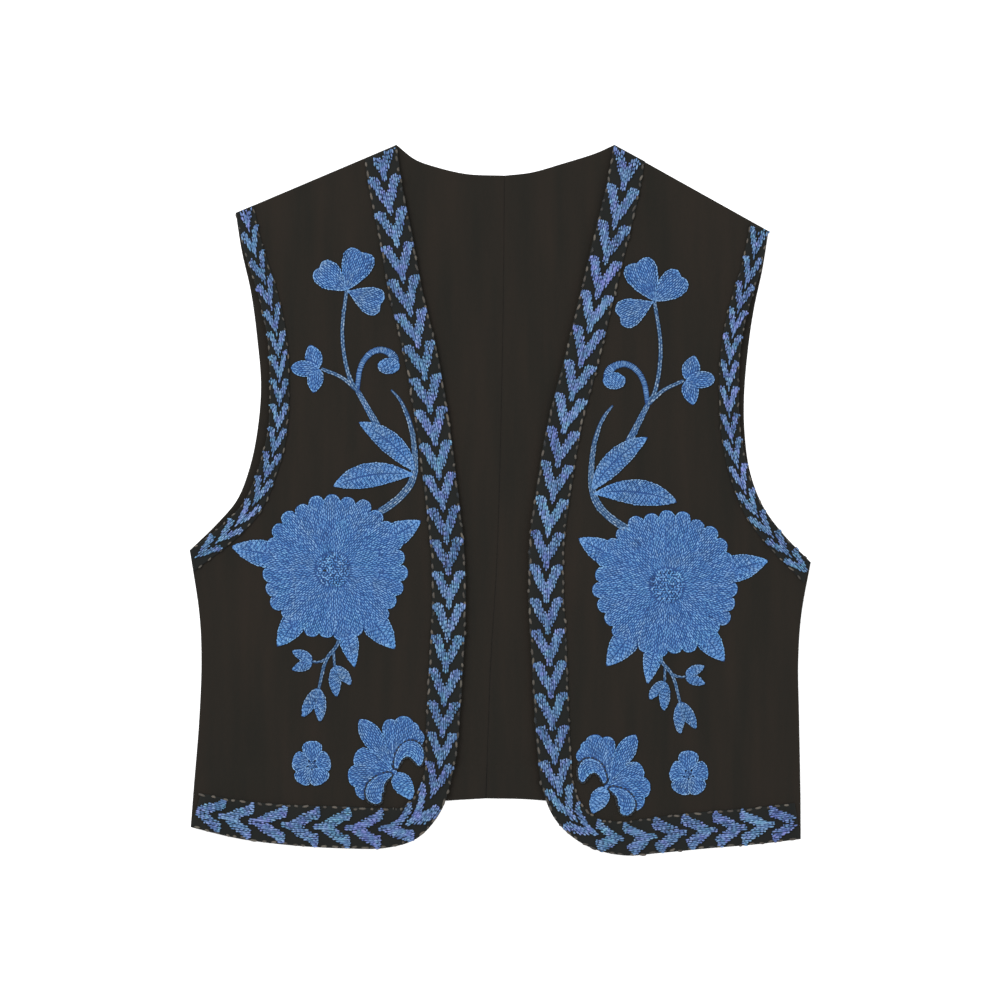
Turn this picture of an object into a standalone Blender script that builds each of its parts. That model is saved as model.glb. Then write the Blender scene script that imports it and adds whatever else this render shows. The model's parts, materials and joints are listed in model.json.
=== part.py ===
"""Embroidered sleeveless vest, laid flat on its back with the fronts on top.

Units are metres in the scene; the tables below are in millimetres and are scaled once, where a
mesh is made. +X runs to the wearer's left, +Y to the neck, +Z up out of the cloth. The origin is
the middle of the outline, on the surface that the back rests on.

The back is cut in two halves with a centre seam and a turned-up hem. Each front is one panel. A
wide braid runs down the front edge, round the corner and along the hem to the side seam, and a
narrow braid runs round the front armhole. Thick embroidery lies on each front.
"""

import math

import bmesh
import bpy
import numpy as np
from mathutils import Vector
from mathutils.geometry import delaunay_2d_cdt

MM = 0.001

# Cloth, in millimetres
BACK_WALL = 1.5
FRONT_WALL = 1.5
HEM_TURN_DEPTH = 26.0
HEM_TURN_WALL = 1.0
SEAM_GAP = 0.3
LAYER_GAP = 0.4
FRONT_LOFT = 0.9
SEAM_EASE = 18.0
HEM_DROOP = 1.9
DROOP_START = 3.0
DROOP_RUN = 34.0

# Braid, in millimetres
BRAID_WALL = 1.2
CHEVRON_RISE = 0.7
CHEVRON_CREST = 0.25
CHEVRON_END = 0.55
BRAID_COLUMNS = (0.0, 0.1, 0.5, 0.9, 1.0)
BRAID_UNDER = (0, 2, 4)
FRONT_CHEVRON_PITCH = 25.0
FRONT_CHEVRON_DEPTH = 13.0
ARMHOLE_BRAID_WIDTH = 15.0
ARMHOLE_CHEVRON_PITCH = 19.2
ARMHOLE_CHEVRON_DEPTH = 8.5

# Embroidery, in millimetres
STITCH_RIM = 0.7
STITCH_CROWN = 1.3

# Mesh spacing, in millimetres
FRONT_SPACING = 17.0
BACK_SPACING = 34.0
EDGE_SPACING = 14.0
STITCH_SPACING = 11.0
STITCH_MARGIN = 3.2
MERGE = 0.02

CLOTH_BLACK = (0.030, 0.027, 0.024, 1.0)
THREAD_BLUE = (0.090, 0.235, 0.560, 1.0)

# The front edge of each front, from the neck down, round the corner and along the hem to the side
# seam, with the braid's width there.
FRONT_EDGE_COLUMNS = ("station", "right_x", "right_y", "right_braid", "left_x", "left_y", "left_braid")
FRONT_EDGE = (
    ("neck", -79.8, 273.8, 25.5, 87.7, 273.8, 25.5),
    ("collar bone", -75.7, 243.4, 25.6, 81.8, 242.6, 26.0),
    ("upper chest", -68.4, 208.0, 25.8, 73.3, 208.0, 26.5),
    ("chest", -59.9, 161.8, 26.0, 62.1, 161.8, 26.5),
    ("bust", -48.7, 115.6, 26.0, 51.0, 115.6, 26.5),
    ("below bust", -39.5, 62.4, 26.0, 37.1, 62.4, 26.5),
    ("rib", -33.3, 13.2, 26.0, 28.3, 13.2, 27.0),
    ("waist", -28.2, -31.5, 26.0, 22.5, -31.5, 27.0),
    ("under waist", -26.4, -76.9, 26.2, 21.8, -76.9, 27.5),
    ("hip", -28.1, -119.4, 26.5, 24.0, -119.4, 27.5),
    ("low hip", -30.6, -159.0, 26.0, 26.0, -159.0, 26.8),
    ("corner top", -33.4, -194.0, 24.4, 28.4, -192.5, 26.0),
    ("corner bend", -38.2, -217.0, 21.5, 32.4, -222.0, 24.6),
    ("corner side", -46.5, -241.0, 23.5, 42.4, -246.0, 23.8),
    ("corner foot", -64.2, -260.5, 27.5, 64.5, -265.2, 23.0),
    ("hem start", -87.5, -267.8, 31.0, 93.7, -273.5, 26.5),
    ("hem middle", -120.0, -268.2, 32.5, 125.0, -271.5, 28.0),
    ("hem outer", -160.5, -265.8, 31.3, 159.0, -268.2, 28.5),
    ("hem side", -201.0, -260.6, 29.5, 196.0, -265.0, 28.2),
    ("side corner", -238.4, -251.7, 27.0, 231.4, -260.9, 28.2),
)

# The side seam, from the hem up to the armhole.
SIDE_COLUMNS = ("station", "right_x", "right_y", "left_x", "left_y")
SIDE = (
    ("side corner", -238.4, -251.7, 231.4, -260.9),
    ("above hem", -235.5, -214.0, 231.2, -222.0),
    ("hip", -232.0, -170.0, 230.3, -170.0),
    ("waist", -230.2, -123.0, 229.6, -123.0),
    ("rib", -231.8, -88.0, 232.0, -88.0),
    ("underarm", -239.2, -38.5, 239.2, -48.0),
)

# The front armhole, from the shoulder down to the side seam, and how far the back's own armhole
# stands out past it.
ARMHOLE_COLUMNS = ("station", "right_x", "right_y", "right_back", "left_x", "left_y", "left_back")
ARMHOLE = (
    ("shoulder", -203.9, 221.2, 0.0, 206.8, 207.3, 0.0),
    ("cap", -197.4, 192.6, 2.0, 200.3, 177.0, 1.6),
    ("upper", -187.4, 161.8, 5.0, 192.0, 150.2, 4.0),
    ("chest", -179.6, 127.1, 8.0, 185.3, 119.4, 6.0),
    ("narrowest", -177.3, 88.6, 7.2, 183.4, 80.9, 4.6),
    ("bust", -178.9, 54.0, 8.2, 185.3, 50.1, 3.2),
    ("low", -186.6, 23.2, 6.8, 191.5, 20.9, 1.2),
    ("scoop", -198.1, -2.3, 5.4, 201.9, -4.9, 0.6),
    ("under", -215.1, -20.0, 3.6, 217.7, -26.1, 0.3),
    ("underarm", -239.2, -38.5, 0.0, 239.2, -48.0, 0.0),
)

# How far the inner side of each braid runs past its outer side, at its two ends.
BRAID_SLANTS = {
    "front": {"start": 8.5, "end": -1.5},
    "armhole": {"start": -2.7, "end": 7.5},
}

# The back neck, from the centre seam out to the shoulder.
BACK_NECK_COLUMNS = ("station", "right_x", "right_y", "left_x", "left_y")
BACK_NECK = (
    ("centre", 3.4, 250.2, 3.4, 250.2),
    ("low", -25.6, 251.4, 24.0, 252.6),
    ("side", -49.1, 256.7, 48.0, 259.4),
    ("rise", -65.7, 262.7, 74.0, 267.6),
    ("neck", -79.8, 273.8, 87.7, 273.8),
)

# The centre back seam, from the neck down to the hem.
BACK_SEAM = ((3.4, 250.2), (2.1, 131.0), (-2.5, -46.0), (-7.2, -123.0), (-11.0, -229.9))

# The back's hem, from the centre seam out to the side seam.
BACK_HEM_COLUMNS = ("station", "right_x", "right_y", "left_x", "left_y")
BACK_HEM = (
    ("centre", -11.0, -229.9, -11.0, -229.9),
    ("inner", -41.0, -231.7, 25.2, -230.9),
    ("middle", -140.0, -239.0, 130.0, -242.0),
    ("side corner", -238.4, -251.7, 231.4, -260.9),
)

# Soft folds of the fronts: a ridge from one end to the other, with its half width and height.
FOLD_COLUMNS = ("side", "from_x", "from_y", "to_x", "to_y", "spread", "height")
FOLDS = (
    ("right", -206.0, -96.0, -212.0, -214.0, 13.0, 1.3),
    ("right", -172.0, -118.0, -166.0, -222.0, 15.0, 1.1),
    ("right", -146.0, 232.0, -152.0, 158.0, 14.0, 1.0),
    ("right", -92.0, 60.0, -70.0, -30.0, 17.0, 1.0),
    ("left", 203.0, -92.0, 197.0, -208.0, 15.0, 1.2),
    ("left", 150.0, 214.0, 146.0, 150.0, 15.0, 1.0),
    ("left", 158.0, 66.0, 172.0, -8.0, 16.0, 1.1),
)

# Leaves and petals, in a motif's own frame, drawn for the wearer's right front. A blade grows from
# its root along its direction. The root and tip powers say how slim or round its ends are, bend
# turns its spine from root to tip, and notch pulls in the middle of its tip.
BLADE_COLUMNS = ("x", "y", "direction", "length", "width", "root", "tip", "bend", "notch")
BLADES = {
    "spray": (
        (-7.3, 75.0, 140.0, 29.5, 22.0, 0.9, 0.40, 0.0, 0.08),
        (-7.3, 75.0, 68.0, 33.5, 25.5, 0.9, 0.30, 0.0, 0.06),
        (-7.3, 75.0, -22.0, 30.5, 22.5, 1.2, 0.42, 0.0, 0.08),
        (-28.0, 14.5, 178.0, 22.0, 13.0, 0.6, 0.50, 0.0, 0.0),
        (-30.0, 14.5, 106.0, 19.5, 14.0, 0.6, 0.75, 0.0, 0.0),
        (-30.0, 16.0, -98.0, 20.0, 13.0, 0.6, 0.80, 0.0, 0.0),
        (33.9, 17.5, 184.0, 17.3, 13.0, 0.5, 0.5, 0.0, 0.0),
        (45.0, -63.6, 123.0, 57.5, 17.0, 0.8, 0.85, 32.0, 0.0),
        (45.0, -67.0, 171.0, 64.0, 19.5, 1.1, 0.9, 34.0, 0.0),
    ),
    "bud_sprig": (
        (-20.2, -15.8, 138.0, 17.0, 9.0, 0.5, 0.7, 30.0, 0.0),
        (-20.2, -15.8, 208.0, 16.5, 9.0, 0.5, 0.8, -10.0, 0.0),
        (-2.5, -19.5, -92.0, 23.5, 9.5, 0.6, 0.7, 12.0, 0.0),
        (-2.5, -19.5, -38.0, 19.0, 9.0, 0.6, 0.7, -22.0, 0.0),
        (-15.0, -36.5, 238.0, 25.0, 10.0, 0.6, 0.7, 8.0, 0.0),
        (-15.0, -36.5, -82.0, 25.5, 10.0, 0.6, 0.7, -10.0, 0.0),
    ),
    "hem_flower": (
        (-1.5, 1.5, -40.0, 5.0, 4.5, 0.5, 0.5, 0.0, 0.0),
        (0.5, -1.5, -48.0, 23.5, 15.5, 0.5, 0.75, -14.0, 0.0),
        (0.0, 0.0, 119.0, 48.5, 16.5, 1.5, 0.75, 8.0, 0.0),
        (0.0, 0.0, 78.0, 44.0, 17.0, 1.2, 0.4, 0.0, 0.0),
        (0.0, 0.0, 186.0, 35.5, 19.5, 1.0, 0.4, 0.0, 0.0),
        (0.0, 0.0, 94.0, 41.0, 14.0, 1.3, 0.4, 0.0, 0.0),
        (0.0, 0.0, 67.0, 41.5, 13.0, 1.3, 0.4, 0.0, 0.0),
        (0.0, 0.0, 70.0, 38.5, 15.0, 1.9, 0.4, -28.0, 0.0),
        (0.0, 0.0, 156.0, 33.0, 18.0, 1.1, 0.4, 0.0, 0.0),
        (0.0, 0.0, 211.0, 33.5, 16.0, 1.1, 0.4, 0.0, 0.0),
    ),
}

# Stems and curled petals, as points with a width, in the same frames.
STEMS = {
    "spray": (
        ((-7.3, 75.5, 2.8), (-10.5, 39.3, 3.0), (-4.6, 7.0, 3.4), (1.0, -2.0, 3.8)),
        ((-27.0, 15.0, 2.8), (-10.8, 8.1, 3.0), (1.0, -2.0, 3.4)),
        (
            (1.0, -2.0, 3.6),
            (1.7, 5.5, 3.9),
            (2.7, 13.2, 4.0),
            (6.0, 21.2, 4.2),
            (11.8, 27.3, 4.6),
            (17.8, 29.4, 4.9),
            (23.6, 28.3, 5.4),
            (28.2, 25.2, 6.6),
            (30.0, 20.4, 6.8),
            (29.6, 16.5, 7.0),
        ),
        ((0.5, -1.0, 4.0), (6.5, -11.5, 4.6), (17.5, -31.0, 6.0)),
        (
            (27.0, -1.3, 1.6),
            (34.2, -9.5, 2.4),
            (41.3, -26.0, 3.5),
            (44.7, -43.7, 4.2),
            (45.4, -61.4, 5.2),
            (42.4, -73.2, 5.8),
            (34.2, -83.8, 5.8),
            (24.5, -91.5, 6.0),
        ),
    ),
    "bud_sprig": (
        ((-1.2, -4.2, 3.0), (-8.6, -13.6, 3.0), (-15.0, -38.0, 2.4)),
        ((-8.6, -13.4, 2.4), (-15.0, -16.4, 1.8), (-21.0, -15.6, 1.8)),
        ((-3.4, -7.0, 2.4), (-2.4, -21.0, 2.0)),
    ),
    "hem_flower": (
        (
            (1.6, 2.5, 3.0),
            (3.4, 10.5, 5.5),
            (8.5, 17.0, 10.0),
            (14.6, 17.8, 13.2),
            (18.7, 12.0, 9.6),
            (20.2, 4.8, 2.8),
        ),
        (
            (-1.2, -1.4, 2.6),
            (-6.5, -3.6, 5.5),
            (-11.8, -8.0, 10.5),
            (-14.6, -14.0, 14.5),
            (-14.0, -19.0, 13.0),
            (-9.5, -22.6, 5.0),
        ),
    ),
}

# The big flower: pointed sepals under rings of scallops round a knotted centre.
SEPAL_COLUMNS = ("direction", "reach", "width")
SEPALS = (
    (167.0, 80.0, 21.0),
    (29.0, 77.5, 20.0),
    (-52.0, 77.5, 21.0),
    (-77.5, 77.0, 15.5),
    (-126.0, 73.0, 19.0),
)
SEPAL_ROOT = 34.0
SEPAL_POWERS = (0.7, 0.9)
RING_COLUMNS = ("radius", "scallops", "depth", "uneven", "turn")
FLOWER_RINGS = (
    (56.0, 27, 4.0, 1.2, 4.0),
    (36.0, 13, 3.2, 1.2, 8.0),
)
FLOWER_CENTRE = 15.5

# The rings reach further out in this direction, by this share of their radius.
RING_LEAN = np.array([0.018, 0.037])

# The rosette's petals, in the sepals' columns.
ROSETTE = (
    (90.0, 18.5, 16.0),
    (165.0, 15.5, 16.0),
    (235.0, 17.0, 15.0),
    (300.0, 16.5, 16.5),
    (15.0, 14.5, 17.0),
)
ROSETTE_ROOT = 2.5
ROSETTE_POWERS = (0.7, 0.4)
ROSETTE_CENTRE = 4.6

# Where each motif sits on each front, and how the left one is turned and sized beside the right.
PLACE_COLUMNS = ("motif", "right_x", "right_y", "left_x", "left_y", "left_turn", "left_size")
PLACES = (
    ("spray", -111.1, 86.3, 114.5, 75.5, -2.5, 1.03),
    ("flower", -128.8, -53.6, 128.6, -65.9, -1.0, 1.0),
    ("bud_sprig", -125.0, -108.5, 123.6, -121.2, -1.5, 0.95),
    ("rosette", -144.8, -203.8, 144.8, -211.2, 0.0, 1.0),
    ("hem_flower", -81.9, -209.4, 82.3, -220.5, -4.0, 0.94),
)


def rows(columns, table):
    """The table's rows as dictionaries, by column name."""
    return [dict(zip(columns, row, strict=True)) for row in table]


def points_of(columns, table, side):
    """The (x, y) points of one side's columns."""
    return np.array([(row[side + "_x"], row[side + "_y"]) for row in rows(columns, table)])


def smooth_curve(points, pieces=8):
    """Points on a centripetal curve through the given points, with this many pieces a stretch."""
    points = np.asarray(points, float)
    padded = np.vstack([2 * points[0] - points[1], points, 2 * points[-1] - points[-2]])
    curve = []
    for a, b, c, d in zip(padded, padded[1:], padded[2:], padded[3:], strict=False):
        t1 = math.sqrt(math.dist(a[:2], b[:2]))
        t2 = t1 + math.sqrt(math.dist(b[:2], c[:2]))
        t3 = t2 + math.sqrt(math.dist(c[:2], d[:2]))
        for t in t1 + (t2 - t1) * np.arange(pieces) / pieces:
            ab = a + (b - a) * t / t1
            bc = b + (c - b) * (t - t1) / (t2 - t1)
            cd = c + (d - c) * (t - t2) / (t3 - t2)
            abc = ab + (bc - ab) * t / t2
            bcd = bc + (cd - bc) * (t - t1) / (t3 - t1)
            curve.append(abc + (bcd - abc) * (t - t1) / (t2 - t1))
    return np.array([*curve, points[-1]])


def lengths_along(curve):
    steps = np.hypot(*np.diff(curve[:, :2], axis=0).T)
    return np.concatenate([[0.0], np.cumsum(steps)])


def resample(curve, spacing):
    """The curve at even steps of about this length, with both ends kept."""
    along = lengths_along(curve)
    count = max(2, round(along[-1] / spacing) + 1)
    wanted = np.linspace(0, along[-1], count)
    return np.column_stack([np.interp(wanted, along, column) for column in curve.T])


def normals_of(curve):
    """Unit normals, to the right of the way that the curve runs."""
    along = np.gradient(curve[:, :2], axis=0)
    along /= np.linalg.norm(along, axis=1)[:, None]
    return np.column_stack([along[:, 1], -along[:, 0]])


def distance_to(points, curve):
    """Each point's distance to the nearest stretch of the curve."""
    start = curve[:-1, None]
    run = curve[1:, None] - start
    share = ((points[None] - start) * run).sum(2) / (run**2).sum(2)
    nearest = start + np.clip(share, 0, 1)[..., None] * run
    return np.linalg.norm(points[None] - nearest, axis=2).min(0)


def inside(points, outline):
    """Which points lie inside a closed outline."""
    x, y = points[:, 0][:, None], points[:, 1][:, None]
    x0, y0 = outline.T
    x1, y1 = np.roll(outline, -1, axis=0).T
    spans = (y0 > y) != (y1 > y)
    crossing = x0 + (y - y0) * (x1 - x0) / np.where(y1 == y0, 1, y1 - y0)
    return (spans & (x < crossing)).sum(1) % 2 == 1


def smooth_step(value):
    value = np.clip(value, 0, 1)
    return value * value * (3 - 2 * value)


def hex_points(low, high, spacing):
    """Points of a triangular grid over a box."""
    step = spacing * math.sqrt(3) / 2
    found = []
    for row, y in enumerate(np.arange(low[1], high[1], step)):
        shift = spacing / 2 if row % 2 else 0.0
        found += [(x, y) for x in np.arange(low[0] + shift, high[0], spacing)]
    return np.array(found).reshape(-1, 2)


def triangulate(outlines, lines, spacing, margin):
    """Triangles that fill the union of the outlines.

    Returns the points, the triangles, and a mask of the points that lie on no outline or line.
    """
    points, edges = [], []
    for shape, closed in [(o, True) for o in outlines] + [(line, False) for line in lines]:
        first, count = len(points), len(shape)
        points += list(shape)
        edges += [(first + i, first + (i + 1) % count) for i in range(count if closed else count - 1)]
    drawn = len(points)
    everything = np.vstack(outlines)
    grid = hex_points(everything.min(0), everything.max(0), spacing)
    grid = grid[np.any([inside(grid, outline) for outline in outlines], axis=0)]
    for shape, closed in [(o, True) for o in outlines] + [(line, False) for line in lines]:
        ring = np.vstack([shape, shape[:1]]) if closed else shape
        grid = grid[distance_to(grid, ring) > margin]
    points += list(grid)
    flat = [Vector((float(x), float(y))) for x, y in points]
    found, _, faces, origins, _, _ = delaunay_2d_cdt(flat, edges, [], 0, MERGE)
    found = np.array([tuple(p) for p in found])
    faces = np.array(faces)
    middles = found[faces].mean(1)
    faces = faces[np.any([inside(middles, outline) for outline in outlines], axis=0)]
    free = np.array([min(origin, default=0) >= drawn for origin in origins])
    used = np.unique(faces)
    place = np.full(len(found), -1)
    place[used] = np.arange(len(used))
    return found[used], place[faces], free[used]


def material(name, colour, roughness):
    """A plain material of this colour."""
    made = bpy.data.materials.new(name)
    made.use_nodes = True
    shader = made.node_tree.nodes["Principled BSDF"]
    shader.inputs["Base Color"].default_value = colour
    shader.inputs["Roughness"].default_value = roughness
    shader.inputs["Metallic"].default_value = 0.0
    return made


def make_object(name, vertices, faces, materials, slots=None):
    """One closed mesh object, from millimetres, its faces turned to point out."""
    mesh = bpy.data.meshes.new(name)
    mesh.from_pydata([tuple(float(c) * MM for c in v) for v in vertices], [], faces)
    for each in materials:
        mesh.materials.append(each)
    if slots is not None:
        mesh.polygons.foreach_set("material_index", slots)
    shaped = bmesh.new()
    shaped.from_mesh(mesh)
    bmesh.ops.recalc_face_normals(shaped, faces=shaped.faces)
    shaped.to_mesh(mesh)
    shaped.free()
    obj = bpy.data.objects.new(name, mesh)
    bpy.context.scene.collection.objects.link(obj)
    return obj


def cloth_solid(name, flat, triangles, bottom, top, materials):
    """A wall of cloth: the same triangles below and above, joined round every open edge."""
    count = len(flat)
    vertices = [(*p, z) for p, z in zip(flat, bottom, strict=True)]
    vertices += [(*p, z) for p, z in zip(flat, top, strict=True)]
    faces = [tuple(int(i) for i in t[::-1]) for t in triangles]
    faces += [tuple(int(i) + count for i in t) for t in triangles]
    ends = {(int(t[i]), int(t[(i + 1) % 3])) for t in triangles for i in range(3)}
    for a, b in sorted(ends):
        if (b, a) not in ends:
            faces += [(a, b, b + count), (a, b + count, a + count)]
    return make_object(name, vertices, faces, materials)


class Side:
    """The curves and heights of one half of the vest, the wearer's right or left."""

    def __init__(self, name):
        self.name = name
        self.mirror = 1.0 if name == "right" else -1.0
        edge = rows(FRONT_EDGE_COLUMNS, FRONT_EDGE)
        widths = np.array([row[name + "_braid"] for row in edge])
        edge_points = points_of(FRONT_EDGE_COLUMNS, FRONT_EDGE, name)
        self.front_edge = smooth_curve(np.column_stack([edge_points, widths]))
        self.side_seam = smooth_curve(points_of(SIDE_COLUMNS, SIDE, name))
        armhole = rows(ARMHOLE_COLUMNS, ARMHOLE)
        stands_out = np.array([row[name + "_back"] for row in armhole])
        armhole_points = points_of(ARMHOLE_COLUMNS, ARMHOLE, name)
        self.armhole = smooth_curve(np.column_stack([armhole_points, stands_out]))
        self.shoulder = np.array([armhole_points[0], edge_points[0]])
        self.back_hem = smooth_curve(points_of(BACK_HEM_COLUMNS, BACK_HEM, name))
        self.back_neck = smooth_curve(points_of(BACK_NECK_COLUMNS, BACK_NECK, name))
        self.back_seam = smooth_curve(BACK_SEAM)
        self.folds = [row for row in rows(FOLD_COLUMNS, FOLDS) if row["side"] == name]

    def front_outline(self):
        """The front panel: edge and hem, side seam, armhole and shoulder."""
        curves = (self.front_edge[:, :2], self.side_seam, self.armhole[::-1, :2], self.shoulder)
        return np.vstack([resample(curve, EDGE_SPACING)[:-1] for curve in curves])

    def back_armhole(self):
        """The back's armhole, which shows past the front's."""
        out = self.mirror * self.armhole[:, 2:] * normals_of(self.armhole)
        return self.armhole[:, :2] + out

    def back_outline(self):
        """Half of the back: centre seam, hem, side seam, armhole, shoulder and neck."""
        seam = self.back_seam + np.array([-self.mirror * SEAM_GAP / 2, 0.0])
        hem = self.back_hem[1:]
        curves = (
            (seam, BACK_SPACING),
            (np.vstack([seam[-1:], hem]), EDGE_SPACING),
            (self.side_seam, EDGE_SPACING),
            (self.back_armhole()[::-1], EDGE_SPACING),
            (self.shoulder, EDGE_SPACING),
            (np.vstack([self.back_neck[:0:-1], seam[:1]]), EDGE_SPACING),
        )
        return np.vstack([resample(curve, spacing)[:-1] for curve, spacing in curves])

    def below_back_hem(self, flat):
        """How far each point lies past the back's hem, towards the floor of the picture."""
        order = np.argsort(self.back_hem[:, 0])
        return np.interp(flat[:, 0], self.back_hem[order, 0], self.back_hem[order, 1]) - flat[:, 1]

    def hem_turn_line(self, rise):
        """A line across the back, this far above its hem."""
        line = resample(self.back_hem, EDGE_SPACING) + np.array([0.0, rise])
        hem_side = np.interp(line[-1, 1], self.side_seam[:, 1], self.side_seam[:, 0])
        line[-1, 0] = hem_side - math.copysign(SEAM_GAP, hem_side)
        seam_x = np.interp(line[0, 1], self.back_seam[::-1, 1], self.back_seam[::-1, 0])
        line[0, 0] = seam_x - self.mirror * SEAM_GAP
        return line

    def back_top(self, flat):
        """The height of the back's upper face, thicker where the hem is turned up."""
        above = -self.below_back_hem(flat)
        return BACK_WALL + HEM_TURN_WALL * smooth_step(HEM_TURN_DEPTH + 1.0 - above)

    def front_bottom(self, flat):
        """The height of the front's under face: on the back, eased to its seams, with folds."""
        past_hem = self.below_back_hem(flat)
        height = np.full(len(flat), BACK_WALL + LAYER_GAP)
        height += HEM_TURN_WALL * smooth_step((past_hem + 45.0) / 16.0)
        height -= HEM_DROOP * smooth_step((past_hem - DROOP_START) / DROOP_RUN)
        to_seam = np.minimum(distance_to(flat, self.side_seam), distance_to(flat, self.shoulder))
        eased = 1 - np.exp(-((to_seam / SEAM_EASE) ** 2))
        for fold in self.folds:
            start = np.array([fold["from_x"], fold["from_y"]])
            run = np.array([fold["to_x"], fold["to_y"]]) - start
            share = np.clip((flat - start) @ run / (run @ run), 0, 1)
            away = np.linalg.norm(flat - start - share[:, None] * run, axis=1)
            height += eased * fold["height"] * np.exp(-0.5 * (away / fold["spread"]) ** 2)
        return height + eased * FRONT_LOFT

    def front_top(self, flat):
        return self.front_bottom(flat) + FRONT_WALL


class Braid:
    """A strip of braid along a curve, with raised chevrons that point along it."""

    def __init__(self, curve, widths, slants, pitch, depth, hand):
        self.curve = curve
        self.widths = widths
        self.along = lengths_along(curve)
        self.normals = normals_of(curve) * hand
        self.slants = slants
        self.pitch = pitch
        self.depth = depth

    def at(self, length, across):
        """The point this far along the outer side and this share of the width in from it."""
        end = self.along[-1]
        on = np.clip(length, 0, end)
        x, y, width = (
            np.interp(on, self.along, column) for column in (*self.curve[:, :2].T, self.widths)
        )
        normal = np.array([np.interp(on, self.along, column) for column in self.normals.T])
        normal /= np.linalg.norm(normal)
        point = np.array([x, y]) + normal * width * across
        if on != length:
            tip, back = (self.curve[0], self.curve[1]) if on == 0 else (self.curve[-1], self.curve[-2])
            way = (tip - back)[:2] / math.dist(tip[:2], back[:2])
            point = point + way * abs(length - on)
        return point

    def rows(self):
        """Each row of points across the braid: lengths along it, and whether the row is raised."""
        columns = np.array(BRAID_COLUMNS)
        lean = self.depth * (1 - np.abs(2 * columns - 1))
        first = self.slants["start"] * columns
        last = self.along[-1] + self.slants["end"] * columns
        found = [(first, False)]
        start = max(first.max(), 0.0) + 1.5
        while start + self.pitch + self.depth < last.min():
            found.append((start + lean, False))
            found.append((start + self.pitch * CHEVRON_CREST + lean, True))
            found.append((start + self.pitch * CHEVRON_END + lean, False))
            start += self.pitch
        return [*found, (last, False)]

    def solid(self, name, ground, materials):
        """The strip, its under face on the ground height and its chevrons raised."""
        found = self.rows()
        columns = len(BRAID_COLUMNS)
        flat = np.array(
            [self.at(s, v) for lengths, _ in found for s, v in zip(lengths, BRAID_COLUMNS, strict=True)]
        )
        bottom = ground(flat) + LAYER_GAP
        raised = np.array([up and 0 < c < columns - 1 for _, up in found for c in range(columns)])
        vertices = [(*p, z) for p, z in zip(flat, bottom + BRAID_WALL + CHEVRON_RISE * raised, strict=True)]
        under = {}
        for row in range(len(found)):
            for column in BRAID_UNDER:
                place = row * columns + column
                under[place] = len(vertices)
                vertices.append((*flat[place], bottom[place]))
        faces, blue = [], []
        for row in range(len(found) - 1):
            first, after = row * columns, (row + 1) * columns
            for c in range(columns - 1):
                faces.append((first + c, first + c + 1, after + c + 1, after + c))
                blue.append(0 < c < columns - 2 and (found[row][1] or found[row + 1][1]))
            for c, d in zip(BRAID_UNDER, BRAID_UNDER[1:], strict=False):
                faces.append((under[first + c], under[after + c], under[after + d], under[first + d]))
            for c in (0, columns - 1):
                faces.append((first + c, after + c, under[after + c], under[first + c]))
            blue += [False] * (len(faces) - len(blue))
        for first in (0, (len(found) - 1) * columns):
            for c, d in zip(BRAID_UNDER, BRAID_UNDER[1:], strict=False):
                faces.append((under[first + c], under[first + d], *range(first + d, first + c - 1, -1)))
        blue += [False] * (len(faces) - len(blue))
        return make_object(name, vertices, faces, materials, [int(b) for b in blue])


def blade(row):
    """The outline of a leaf or petal, from its root along a bent spine to its tip and back."""
    shares = (1 - np.cos(np.linspace(0, math.pi, 8))) / 2
    root, tip = row["root"], row["tip"]
    peak = root / (root + tip)
    swell = (shares / peak) ** root * ((1 - shares) / (1 - peak)) ** tip
    half = row["width"] / 2 * swell
    outline = []
    for hand, order in ((1, range(len(shares))), (-1, range(len(shares) - 2, 0, -1))):
        for i in order:
            pull = row["notch"] * max(0.0, 1 - half[i] / (0.3 * row["width"])) ** 2 * shares[i] ** 8
            share = shares[i] - pull
            turned = math.radians(row["bend"]) * share
            angle = math.radians(row["direction"]) + turned / 2
            chord = share * row["length"] * (math.sin(turned / 2) / (turned / 2) if turned else 1.0)
            spine = np.array([row["x"], row["y"]]) + chord * np.array([math.cos(angle), math.sin(angle)])
            facing = math.radians(row["direction"]) + turned + math.pi / 2
            outline.append(spine + hand * half[i] * np.array([math.cos(facing), math.sin(facing)]))
    return np.array(outline)


def stem(points):
    """The outline of a stem of changing width."""
    line = smooth_curve(points, pieces=2)
    across = normals_of(line) * line[:, 2:] / 2
    return np.vstack([line[:, :2] + across, (line[:, :2] - across)[::-1]])


def scalloped(radius, scallops, depth, uneven, turn, points=3):
    """A round outline of scallops, a little uneven."""
    outline = []
    for i in range(scallops * points):
        share = i / points
        angle = math.radians(turn) + 2 * math.pi * share / scallops
        wave = abs(math.sin(math.pi * (share % 1.0)))
        reach = radius - depth * (1 - wave) + uneven * math.sin(2.3 * share + turn)
        outline.append((reach * math.cos(angle), reach * math.sin(angle)))
    return np.array(outline)


def radial(row, start, powers):
    """A sepal or petal that points out from the middle of its flower, from this far out."""
    way = math.radians(row["direction"])
    return blade(
        {
            "x": start * math.cos(way),
            "y": start * math.sin(way),
            "direction": row["direction"],
            "length": row["reach"] - start,
            "width": row["width"],
            "root": powers[0],
            "tip": powers[1],
            "bend": 0.0,
            "notch": 0.0,
        }
    )


def disc(radius):
    """A small round outline."""
    return scalloped(radius, 4, 0.0, 0.0, 0.0)


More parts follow.
